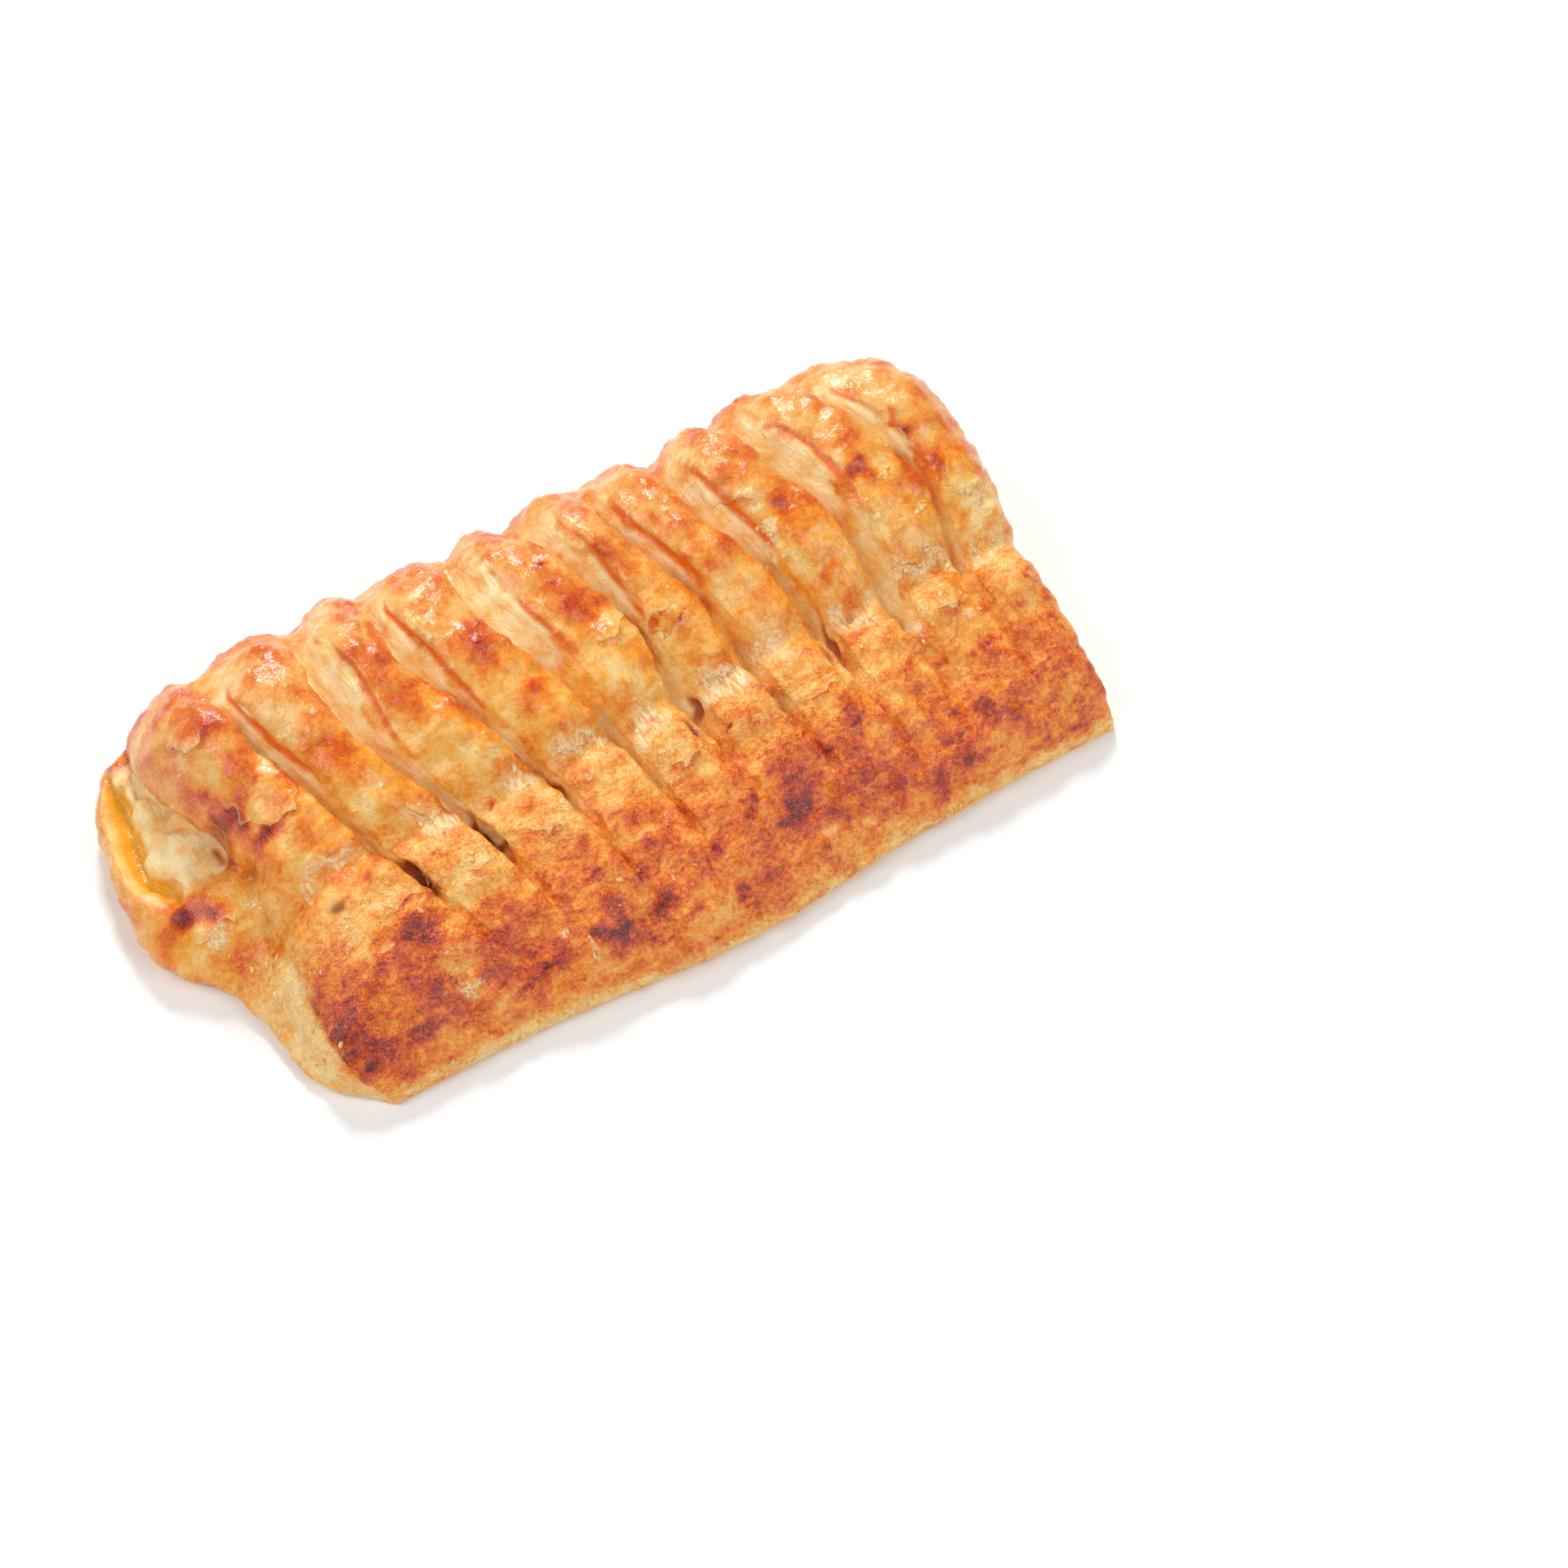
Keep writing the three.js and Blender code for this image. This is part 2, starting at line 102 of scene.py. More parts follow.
FOLD_VALLEY = 6
SEAM_BOW = 3.4
SEAM_BOW_X = 4
SEAM_BOW_REACH = 28
LUMP_SIZE = 11
LUMP_HEIGHT = 1.1
SWELL_SIZE = 5
SWELL_HEIGHT = 0.75
CORNER_TUCK = 1.2
FOOT_STEP = 0.6
LEAST_HEIGHT = 0.05
LEAST_END_HEIGHT = 0.03
LEAST_SKIN_HEIGHT = 0.02

# Towards each end the height falls over a run to a share of itself, both given on the mound and
# on the seam, which take over from each other between the places of SEAM_FADE. An end's open
# shape fades in between the heights of END_RISES.
LEFT_RUN = (24, 15)
LEFT_SHARE = (0.53, 0.6)
RIGHT_RUN = (15, 8)
RIGHT_SHARE = (0.62, 0.78)
SEAM_FADE = (-4, -14)
END_RISES = (2, 14)

# Each slit's x and the width of the cut face beside it, at five places across the puff: at the
# fold, on the mound, above the crease, at the crease and in the seam. Its depth on the mound and
# its notch in the fold are shares of the slits' depth, and its tear is how far it bursts deeper.
SLIT_PLACES = [30, 18, 6, -8, -26]
SLITS = [
    dict(x=[-56.8, -55, -50.6, -45, -36.5], face=[1.5, 2.2, 2.2, 1.5, 0.8],
         depth=0.8, notch=0.3, tear=1.4),
    dict(x=[-40.5, -41.5, -38, -30.3, -24.3], face=[2, 6.5, 4, 2, 1.2], depth=1.0, notch=1.2, tear=2.2),
    dict(x=[-28, -27.5, -21.8, -15.3, -10.3], face=[2.5, 4.5, 2.5, 2.2, 1],
         depth=0.9, notch=0.7, tear=1.2),
    dict(x=[-11.8, -12, -6.3, -1.4, 3], face=[4.5, 6.5, 5, 2, 1], depth=1.0, notch=1.2, tear=0.5),
    dict(x=[2.2, 6.3, 10.8, 11.2, 15.8], face=[5, 4, 2, 4, 1], depth=0.9, notch=1.2, tear=2.6),
    dict(x=[14.8, 17.3, 22, 24.8, 28.6], face=[2, 2.5, 2.5, 2.2, 1], depth=0.9, notch=0.3, tear=1.2),
    dict(x=[28.5, 29.3, 34.9, 38.5, 41.9], face=[2.5, 4.8, 3.2, 3.2, 1], depth=1.0, notch=1.3, tear=2.2),
    dict(x=[42.2, 45.4, 50, 51.5, 54.5], face=[3, 7, 5, 4.5, 2.5], depth=1.15, notch=1.2, tear=1.5),
    dict(x=[57.4, 63.2, 67.5, 66.7, 68.5], face=[3, 3, 2, 2, 1], depth=0.7, notch=0.4, tear=0.0),
]
STRIP_COUNT = len(SLITS) + 1
DEPTH_PLACES = [-32, -26, -20, -14, -8, 0, 12, 22, 30, 34, 42]
SLIT_DEPTH = [0, 0.6, 1.1, 1.7, 2.1, 2.4, 3, 3, 2.2, 1.3, 0.8]
FULL_DEPTH = 3

# The open left end, across the puff: the edge of the upper sheet, the lip of the lower sheet and
# its height, the belly below it, and the lump of puffed layers that fills the mouth
MOUTH_PLACES = [-41, -36, -28, -16, -8, -2, 4, 10, 16, 22, 29, 35, 39.5, 42.2]
MOUTH_ROOF = [-59, -63.6, -65.2, -64.6, -64.4, -64.2, -64, -65.8, -67.6, -70.2, -71.4, -70.6, -68, -61]
MOUTH_LIP = [-60, -66.4, -68.2, -69.6, -71, -74, -77.5, -79.2, -80.6, -80, -78.4, -76.4, -72.5, -62.4]
MOUTH_LIP_HEIGHT = [0.6, 3, 4, 5, 6, 8, 10.6, 10.4, 9.2, 9, 10.2, 11.5, 11, 4]
MOUTH_BELLY = [
    -60.5, -66.8, -70.8, -72.4, -75, -79.4, -82.8, -83.2, -82.8, -82.2, -80.6, -78.4, -73.6, -62.6,
]
MOUTH_LUMP = [-70, -70, -70, -70, -70, -70, -71, -73.6, -76, -75.6, -74.2, -73.4, -71.4, -62]
MOUTH_OPENS = (4, 12)
MOUTH_CLOSES = (39, 32)

# The blunt right end: the edge of the upper sheet over a shallow hollow of layers
RIGHT_PLACES = [-41, -38, -30, -10, 0, 12, 20, 28, 35, 42]
RIGHT_EDGE = [78.5, 79.5, 79.6, 79.6, 81.5, 82, 81.5, 79.5, 75, 65]
RIGHT_OPENS = (-2, 8)
RIGHT_CLOSES = (36, 28)

# The grid: the rows across the puff and the steps along each part of a strip and down each end
ROWS = 212
FACE_STEPS = 12
CROWN_STEPS = 15
EDGE_STEPS = 9
LEFT_STEPS = 26
RIGHT_STEPS = 18

# The underside: rings at these shares of the foot's outline around a middle point, slightly hollow
BASE_RINGS = (0.985, 0.95, 0.85, 0.65, 0.35)
BASE_HOLLOW = 0.35
BASE_MIDDLE = 0.1
BASE_BAKE = 0.5


def mix(a, b, share):
    return a + (b - a) * share


def eased(share):
    return share * share * (3 - 2 * share)


def ease(start, stop, value):
    """0 at start, 1 at stop, eased at both ends."""
    return eased(np.clip((value - start) / (stop - start), 0, 1))


def span(opens, closes, value):
    return ease(*opens, value) * ease(*closes, value)


def bell(value, middle, reach):
    return np.exp(-(((value - middle) / reach) ** 2))


def through(places, values, at):
    """A smooth curve through values given at rising or falling places, straight beyond its ends."""
    places, values = np.array(places, float), np.array(values, float)
    if places[0] > places[-1]:
        places, values = places[::-1], values[::-1]
    step = np.diff(values) / np.diff(places)
    slope = np.concatenate([step[:1], (step[1:] + step[:-1]) / 2, step[-1:]])
    i = np.clip(np.searchsorted(places, at) - 1, 0, len(places) - 2)
    gap = places[i + 1] - places[i]
    t = (at - places[i]) / gap
    curve = (1 + 2 * t) * (1 - t) ** 2 * values[i] + t * (1 - t) ** 2 * gap * slope[i]
    curve = curve + eased(t) * values[i + 1] + t * t * (t - 1) * gap * slope[i + 1]
    before = values[0] + (at - places[0]) * slope[0]
    after = values[-1] + (at - places[-1]) * slope[-1]
    return np.where(at < places[0], before, np.where(at > places[-1], after, curve))


def draw(a, b, c):
    """A fixed random value from 0 to 1 for each corner of a lattice."""
    wave = np.sin(a * 127.1 + b * 311.7 + c * 74.7) * 43758.5453
    return wave - np.floor(wave)


def lattice(x, y, z, size):
    """Places in a lattice of the given size, and the low corners of the cells that they lie in."""
    places = [np.asarray(value, float) / size for value in (x, y, z)]
    return places, [np.floor(place) for place in places]


def unevenness(x, y, z, size):
    """The unevenness of hand-made dough: a random value at each corner of a lattice of the given
    size, eased between, from -1 to 1."""
    places, cells = lattice(x, y, z, size)
    shares = [eased(place - cell) for place, cell in zip(places, cells)]
    total = 0
    for corner in itertools.product((0, 1), repeat=3):
        weight = 1
        for share, far in zip(shares, corner):
            weight = weight * (share if far else 1 - share)
        total = total + weight * draw(*(cell + far for cell, far in zip(cells, corner)))
    return 2 * total - 1


def blisters(x, y, z, size):
    """The height, from 0 to 1, of the tallest of round blisters that lie one in each cell of a
    lattice of the given size."""
    places, cells = lattice(x, y, z, size)
    tallest = 0 * places[0]
    for steps in itertools.product((-1, 0, 1), repeat=3):
        corner = [cell + step for cell, step in zip(cells, steps)]
        radius = 0.35 + 0.45 * draw(corner[0], corner[1] + 31, corner[2])
        away = 0
        for axis, place in enumerate(places):
            middle = corner[axis] + draw(corner[0] + 17 * (axis + 1), corner[1], corner[2])
            away = away + ((place - middle) / radius) ** 2
        tallest = np.maximum(tallest, radius * (1 - away))
    return tallest


def cross_section_rows(count):
    """Points along the cross section from the near foot over the crown to the far foot."""
    run = np.concatenate([[0], np.cumsum(np.hypot(*np.diff(CROSS_SECTION, axis=0).T))])
    ys, zs = CROSS_SECTION.T
    small = 0.01
    near_run, far_run = run[np.argmin(ys)], run[np.argmax(ys)]
    at = np.linspace(0, run[-1], count)
    y = through(run, ys, at)
    z = np.maximum(through(run, zs, at), 0)
    z[[0, -1]] = 0
    dy, dz = (through(run, v, at + small) - through(run, v, at - small) for v in (ys, zs))
    length = np.hypot(dy, dz)
    across = np.where(at < near_run, ys.min(), np.where(at > far_run, ys.max(), y))
    beyond = np.clip((at - far_run) / (run[-1] - far_run), 0, 1)
    below = np.where(at < near_run, 1 - at / near_run, beyond)
    tuck = CORNER_TUCK * below**2
    return dict(y=y, z=z, across=across, tuck=tuck, out_y=-dz / length, out_z=dy / length)


def slit_x(k, y):
    middle = abs(np.mean(SLITS[k]["x"]))
    full, none = FOLD_LEAN_FADE[1], FOLD_LEAN_FADE[0]
    lean = FOLD_LEAN * np.maximum(y - FOLD_START, 0) * np.clip((none - middle) / (none - full), 0, 1)
    return through(SLIT_PLACES, SLITS[k]["x"], y) + lean


def depth_across(y):
    return np.maximum(through(DEPTH_PLACES, SLIT_DEPTH, y), 0)


def slit_depth_at(k, y):
    share = mix(SLITS[k]["depth"], SLITS[k]["notch"], ease(*FOLD_FADE, y))
    return depth_across(y) * share + SLITS[k]["tear"] * bell(y, OPENING_Y, OPENING_REACH)


def face_width(k, y):
    """The width of the cut face beside slit k, which turns into a soft valley on the fold. The
    first strip, which follows no slit, only has a narrow plain start."""
    if k < 0:
        return 0 * y + PLAIN_START
    width = through(SLIT_PLACES, SLITS[k]["face"], np.clip(y, SLIT_PLACES[-1], SLIT_PLACES[0]))
    return mix(np.maximum(width, LEAST_FACE), FOLD_VALLEY, ease(*FOLD_FADE, y))


def height_share(x, y):
    """The share of the cross section's height that is left at x, which falls towards both ends."""
    seam = ease(*SEAM_FADE, y)
    from_left = np.clip((x - through(MOUTH_PLACES, MOUTH_ROOF, y)) / mix(*LEFT_RUN, seam), 0, 1)
    from_right = np.clip((through(RIGHT_PLACES, RIGHT_EDGE, y) - x) / mix(*RIGHT_RUN, seam), 0, 1)
    left = mix(mix(*LEFT_SHARE, seam), 1, np.sqrt(1 - (1 - from_left) ** 2))
    right = mix(mix(*RIGHT_SHARE, seam), 1, np.sqrt(1 - (1 - from_right) ** 2))
    # The mound swells a little from the open end to the blunt one
    fuller = mix(0.95, 1, ease(-60, -10, x)) + 0.07 * ease(10, 66, x)
    return left * right * mix(1, fuller, ease(-12, 10, y))


def strips_across(y, tuck):
    """Every row's places along x, strip by strip, with the relief of the strips there. A strip has
    a slanting cut face on its left, a domed crown, and an edge that rounds over the next slit."""
    fold = ease(*FOLD_FADE, y)
    on_top = 1 - fold
    bulge = np.minimum(depth_across(y) / FULL_DEPTH, 1) * CROWN_RISE
    parts = []
    for i in range(STRIP_COUNT):
        first, last = i == 0, i == STRIP_COUNT - 1
        start = through(MOUTH_PLACES, MOUTH_ROOF, y) + tuck if first else slit_x(i - 1, y)
        end = through(RIGHT_PLACES, RIGHT_EDGE, y) - tuck if last else slit_x(i, y)
        start_depth = 0 * y if first else slit_depth_at(i - 1, y)
        end_depth = 0 * y if last else slit_depth_at(i, y)
        width = end - start
        face = np.minimum(face_width(i - 1, y), 0.5 * width)
        edge = np.minimum(mix(LIP_RADIUS, FOLD_VALLEY, fold), 0.35 * width)
        place = np.concatenate([
            face * np.arange(FACE_STEPS) / FACE_STEPS,
            face + (width - face - edge) * np.arange(CROWN_STEPS) / CROWN_STEPS,
            width - edge + edge * np.arange(EDGE_STEPS + last) / EDGE_STEPS,
        ], axis=1)
        up = np.clip((place - 0.15 * face) / (0.85 * face), 0, 1)
        rounding = np.clip(1 - (width - place) / edge, 0, 1)
        face_drop = start_depth * (1 - mix(up**1.35, eased(up), fold))
        wall = 1 - (1 - rounding**2.2) ** (1 / 2.2)
        edge_drop = (end_depth + CROWN_LEAN * bulge) * mix(wall, eased(rounding), fold)
        overhang = 0.14 * np.minimum(end_depth, 4) * np.sin(np.pi * rounding**1.5) * on_top
        crown = bulge * (1 - (2 * (place / width) ** CROWN_SKEW - 1) ** 2 + CROWN_LEAN * place / width)
        # Painted shade on the floor of a deep slit, at the foot of the cut face and of the edge
        floor = np.clip((start_depth - OPEN_DEPTH) / 4, 0, 1) * (1 - ease(0, 0.25, up))
        floor = floor + np.clip((end_depth - OPEN_DEPTH) / 4, 0, 1) * ease(0.94, 1, rounding)
        parts.append(dict(
            x=start + place + overhang,
            relief=crown - face_drop - edge_drop,
            share=place / width,
            cut=0 * place + np.clip(start_depth / 1.5, 0, 1) * on_top,
            climb=np.minimum(place / face, 3),
            stack=-face_drop,
            crack=bell(place, face, 0.6) * np.clip(start_depth / 3, 0, 1) * on_top,
            floor=floor * on_top,
        ))
    return {name: np.concatenate([part[name] for part in parts], axis=1) for name in parts[0]}


def end_skin(section, edge_y, shares, xs, zs, steps, draw_in):
    """An end's columns of points. In each row they run smoothly through the key points, which are
    given by their shares of the way to the foot, and draw in a little on the way."""
    at = np.linspace(0, 1, steps + 1)[1:]
    shares = shares.ravel()
    weights = np.stack([through(shares, unit, at) for unit in np.eye(len(shares))], axis=1)
    z = np.maximum((weights @ zs).T, LEAST_END_HEIGHT)
    z[:, -1] = 0
    z[section["z"] <= 0] = 0
    return (weights @ xs).T, edge_y[:, None] * (1 - draw_in * at), z


def left_end(section, edge_x, edge_y, edge_z):
    """From the roof's edge under it, over the lump of layers, into the groove behind the lip, over
    the lip and down its belly to the foot."""
    shares = np.array([0, 0.1, 0.22, 0.38, 0.52, 0.62, 0.7, 0.85, 1])[:, None]
    closed_shares = np.array([0, 0.15, 0.32, 0.54, 0.74, 0.88, 1])[:, None]
    y = section["across"]
    risen = ease(*END_RISES, section["z"])
    lip, belly, lump = (through(MOUTH_PLACES, v, y) for v in (MOUTH_LIP, MOUTH_BELLY, MOUTH_LUMP))
    lip_z = np.minimum(through(MOUTH_PLACES, MOUTH_LIP_HEIGHT, y), edge_z * 0.75)
    open_x = np.array([edge_x, edge_x + 1.8, edge_x + 0.6, mix(edge_x, lump, 0.6), lump, lump - 0.6, lip])
    open_z = np.array([edge_z, edge_z - 2.2, edge_z - 3.9, edge_z - 3.6, lip_z + 1, lip_z - 2.6, lip_z])
    closed_x = mix(edge_x, lip, closed_shares)
    closed_z = mix(edge_z, lip_z, closed_shares) + 0.8 * risen * np.sin(np.pi * closed_shares)
    openness = span(MOUTH_OPENS, MOUTH_CLOSES, y) * risen
    xs = np.vstack([mix(closed_x, open_x, openness), belly, belly + 2.2])
    zs = np.vstack([mix(closed_z, open_z, openness), lip_z * 0.45, 0 * lip_z])
    xs = mix(edge_x - FOOT_STEP * shares, xs, risen)
    xs[0] = edge_x
    return *end_skin(section, edge_y, shares, xs, zs, LEFT_STEPS, 0.02), openness


def right_end(section, edge_x, edge_y, edge_z):
    """From the upper sheet's edge over a shallow hollow of layers to the foot."""
    shares = np.array([0, 0.12, 0.3, 0.5, 0.68, 0.8, 0.9, 1])[:, None]
    hollow = np.array([0, -1.4, -3, -2.4, -2.2, -0.4, 0.3, -1.2])[:, None]
    plain = np.array([0, 0.2, -0.3, 0.3, 0, 0.3, 0.1, -1])[:, None]
    risen = ease(*END_RISES, section["z"])
    openness = span(RIGHT_OPENS, RIGHT_CLOSES, section["across"])
    reach = mix(plain, hollow, openness) * risen + (1 - risen) * FOOT_STEP * shares
    xs, zs = edge_x + reach, edge_z * (1 - shares)
    return *end_skin(section, edge_y, shares, xs, zs, RIGHT_STEPS, 0.01), openness


def pastry_grid():
    """The whole skin but its foot as one grid: each row runs from the left foot up the left end,
    over the strips and down the right end."""
    section = cross_section_rows(ROWS)
    column = {name: values[:, None] for name, values in section.items()}
    top = strips_across(column["across"], column["tuck"])
    x = top["x"]
    flat_y, flat_z = column["y"] + 0 * x, column["z"] + 0 * x
    dip = CREASE_DEPTH * bell(flat_y, CREASE_Y, CREASE_REACH)
    lumps = LUMP_HEIGHT * unevenness(x, flat_y, flat_z, LUMP_SIZE) * ease(1, 6, flat_z)
    swells = SWELL_HEIGHT * unevenness(x + 40, flat_y, flat_z, SWELL_SIZE) * ease(1, 5, flat_z)
    out = (top["relief"] - dip + lumps + swells) * np.clip(flat_z / 6, 0, 1)
    bow = SEAM_BOW * ease(-20, -38, flat_y)
    y = flat_y + column["out_y"] * out - bow * bell(x, SEAM_BOW_X, SEAM_BOW_REACH)
    z = np.maximum(flat_z * height_share(x, column["across"]) + column["out_z"] * out, LEAST_HEIGHT)
    z = np.where(flat_z <= 0, 0, z)

    left = left_end(section, x[:, 0], y[:, 0], z[:, 0])
    right = right_end(section, x[:, -1], y[:, -1], z[:, -1])
    no_top, no_left, no_right = 0 * x, 0 * left[0], 0 * right[0]
    grid = {}
    for axis, before, middle, after in zip("xyz", left, (x, y, z), right):
        grid[axis] = np.hstack([before[:, ::-1], middle, after])
    for axis in "xy":
        grid[axis] -= (grid[axis].min() + grid[axis].max()) / 2
    for name in ("share", "cut", "climb", "stack", "floor", "crack"):
        grid[name] = np.hstack([no_left, top[name], no_right])
    down_left = no_left + np.linspace(1, 0, LEFT_STEPS + 1)[:-1]
    down_right = no_right + np.linspace(0, 1, RIGHT_STEPS + 1)[1:]
    grid["left"] = np.hstack([down_left, no_top, no_right])
    grid["right"] = np.hstack([no_left, no_top, down_right])
    grid["open"] = np.hstack([no_left + left[3][:, None], no_top, no_right + right[3][:, None]])
    grid["lump"] = grid["open"] * span((0.1, 0.2), (0.6, 0.56), grid["left"])
    return grid


def outward(place):
    """Unit normals of a grid of points."""
    normal = np.cross(np.gradient(place, axis=1), np.gradient(place, axis=0))
    return normal / np.maximum(np.linalg.norm(normal, axis=-1, keepdims=True), 1e-9)


def ragged(x, y, share, *sizes):
    """Places shifted unevenly, so that what is drawn there has a ragged outline. Each size is given
    as its shift, its size and the level at which its noise is cut."""
    shifts = [
        sum(shift * unevenness(x, y, level + side, size) for shift, size, level in sizes)
        for side in (0, 10)
    ]
    return x + share * shifts[0], y + share * shifts[1]


def spots(x, y, places, raggedness=1.0):
    """The sum of soft ragged spots, each given as x, y, its two half sizes, its strength and, if
    it leans, its gain in x for each y."""
    ragged_x, ragged_y = ragged(x, y, raggedness, (1.4, 2.7, 7), (0.8, 1.2, 3))
    total = 0 * x
    for spot_x, spot_y, half_x, half_y, strength, *leaning in places:
        lean = leaning[0] if leaning else 0
        along = ragged_y - spot_y
        away = np.hypot((ragged_x - spot_x - lean * along) / half_x, along / half_y)
        total = total + strength * ease(1.45, 0.1, away)
    return total


# How browned the crust is across the puff, from 0, pale, to 1, nearly black. The low above the
# crease, on the mound's near slope, is partly painted light.
BAKE_PLACES = [-40, -37, -33, -28, -24, -20, -16, -12, -9, -5, 0, 6, 12, 20, 26, 34, 42]
BAKE_LEVELS = [
    0.5, 0.56, 0.6, 0.58, 0.54, 0.5, 0.47, 0.44, 0.38, 0.31, 0.31, 0.38, 0.39, 0.37, 0.38, 0.42, 0.47,
]

# Where the oven browned it more or less than that. A few darker spots at the ends and sides of
# slits are painted shade.
BROWN_SPOTS = [
    (-61.6, 22, 3, 5, 0.24, -0.4), (-58.8, 12.6, 3, 4, 0.28, -0.3), (-62.4, 8.8, 2.2, 6.5, 0.4, -0.45),
    (-59.2, 3.2, 2.8, 2.6, 0.44, -0.4), (-66, 36.6, 1.4, 3, 0.3), (-69.6, 36.6, 1, 2.6, 0.3),
    (-48.6, 3, 2, 5, 0.1, -0.3), (-55, -30, 16, 10, 0.08), (-61, -29, 3.4, 8, 0.1),
    (-45, -22.6, 3.4, 3, 0.12), (30, -32, 50, 4, 0.04), (-48.5, 22, 3.5, 4, 0.08),
    (-44.3, 20, 1.6, 5, 0.14), (-44.2, 8, 3.4, 5.5, 0.28, -0.3), (-34.5, 22, 2.4, 5, 0.16),
    (-31.8, 13, 3.4, 4.6, 0.28, -0.2), (-27, 11.2, 2.8, 1.1, 0.28), (-24.2, 10, 0.9, 5, 0.26, -0.35),
    (-26.5, 5.8, 2, 1, 0.14), (-17.8, 22, 3, 4, 0.1), (-17.8, 12.4, 4.2, 3.2, 0.28),
    (-12, 1.5, 3, 1.6, 0.1), (-3, 23.6, 2.5, 3, 0.2, -0.4), (1.7, 19.6, 1.8, 0.9, 0.46),
    (1.7, 15.6, 3.6, 2.8, 0.28), (3.6, 11.4, 3.4, 3.6, 0.24), (-3.9, 31, 1, 1, 0.25),
    (13, 26, 0.8, 4, 0.24), (12.1, 16.6, 2.6, 2, 0.28), (13.5, 12.6, 3, 2.4, 0.16),
    (14.1, 3, 2.6, 2, 0.24), (17.3, 1.6, 2, 1.5, 0.2), (23, 17.8, 2, 2.8, 0.3, -0.2),
    (25, 10.6, 2.6, 2.2, 0.3), (28.3, 6.4, 2, 2, 0.12), (37.2, 17.2, 3.2, 2.8, 0.22),
    (42.5, 9.4, 3.2, 4.4, 0.24, -0.2), (43.4, -1.8, 2, 1.7, 0.26), (47, 23.8, 3.4, 1.1, 0.3, -1.5),
    (53.4, 17.4, 2.8, 3.6, 0.26), (56.7, 9, 3.4, 2, 0.44), (54.8, 5.6, 1.6, 3, 0.2, -0.2),
    (68.3, 14, 1.4, 3.4, 0.4, -0.2), (70, 12.6, 1.8, 3, 0.3, -0.3), (66.8, 9, 1, 2.4, 0.2),
    (70.9, 5, 2.2, 3.2, 0.32), (75.4, 6.5, 2.6, 2.2, 0.22), (70, -1.8, 1.8, 2.6, 0.2),
    (75, 12, 4.5, 3, 0.14), (-62, -26, 4.6, 6, 0.2), (-60, -34, 5, 3, 0.14), (-52.5, -21.6, 3, 2, 0.18),
    (-45, -22.6, 4.6, 3.6, 0.22), (-49.5, -28.6, 3.4, 2, 0.14), (-52, -34.3, 4.4, 1.2, 0.2),
    (-44.8, -34.6, 1.6, 2.6, 0.2), (-35.3, -32.6, 3.2, 1.3, 0.3), (-31.8, -34.6, 3, 2, 0.34),
    (-27, -35, 2, 1.6, 0.26), (-23.2, -37, 2, 2, 0.12), (-34.7, -26.6, 4, 3.6, 0.12),
    (-17.8, -22, 3.6, 3, 0.16), (-11, -25.6, 1, 2.4, 0.16), (-3.8, -22.6, 2.6, 2, 0.14),
    (-4.4, -27.4, 4, 2.6, 0.2), (-7.4, -29.8, 3, 1.6, 0.22), (2.9, -25.6, 1, 2.6, 0.18),
    (-19.5, -35.4, 2, 1.6, 0.34), (-16.2, -36.1, 4.4, 2.2, 0.42), (-12.4, -38.4, 4, 1.1, 0.34),
    (-7.8, -35.5, 3, 1.9, 0.32), (-3, -39, 2.2, 1, 0.36), (5.8, -38.8, 2.2, 0.9, 0.3),
    (11.7, -38, 2.8, 1.5, 0.26, 0.8), (12.9, -29, 1.7, 1.1, 0.2), (14.6, -27, 1, 2.4, 0.16),
    (21.4, -29, 4.4, 6, 0.24), (27, -35.5, 2.2, 2, 0.22), (36, -24.8, 1.9, 4.2, 0.22),
    (28.9, -26, 1.6, 2.2, 0.18), (42.4, -24.8, 1.2, 4, 0.14), (47.5, -23.4, 3, 3, 0.12),
    (38.9, -36, 2.2, 1.6, 0.3), (34.2, -36.7, 2, 1.4, 0.18), (45.4, -36.6, 2, 1.4, 0.18),
    (52.6, -34.8, 3.2, 2.6, 0.2), (60, -33, 8, 4, 0.12), (72, -24, 4, 4, 0.1),
    (-74, 2.8, 5, 3, 0.4, -0.5), (-71.6, 1, 2.4, 1.6, 0.16), (-77.4, 7.6, 2.6, 1.8, 0.16),
    (-70, 2.6, 3, 2.6, 0.12), (-69.4, -6, 4, 5, 0.06), (-63.5, -18.4, 0.9, 2.6, 0.2, -0.6),
    (-54.9, -21.9, 1.2, 1.7, -0.3), (-50.1, -22.5, 1.6, 1.3, -0.36), (-43.4, -29.4, 1, 2.6, -0.3, 0.2),
    (-41, -31, 0.9, 2.8, -0.3, 0.2), (-56.6, -31.8, 3, 1.2, -0.2), (-38, -21.5, 2.6, 3, -0.12),
    (-12.4, -22.4, 1.8, 2.6, -0.14), (9.4, -22, 2.6, 2.4, -0.12), (16.6, -24, 1.8, 2.6, -0.14),
    (24.4, -20.6, 3, 1.8, -0.14), (32, -22.5, 1.8, 2.4, -0.1), (45.2, -24.8, 1.2, 1.6, -0.22),
    (8.2, 6, 3, 3, -0.2), (-64.8, 26, 3, 2.4, -0.12), (62.5, 9.5, 3, 4, -0.16), (77, -2, 4, 4, -0.12),
    (72.5, -6.6, 2, 1.6, 0.1), (-57, -1.6, 3, 2.4, -0.08), (-66, 15, 1.8, 5, 0.32, -0.35),
    (-64.4, 8, 1.8, 4, 0.22, -0.4), (-64, 26, 6, 9, 0.1), (-67, -6, 12, 9, 0.1), (-70, -14, 3, 6, 0.08),
    (-24.5, -9.8, 0.4, 0.4, 0.6), (26, -8.8, 0.4, 0.4, 0.8), (17, -17, 0.4, 0.4, 0.8),
    (28, -22, 0.5, 0.4, 0.5),
]

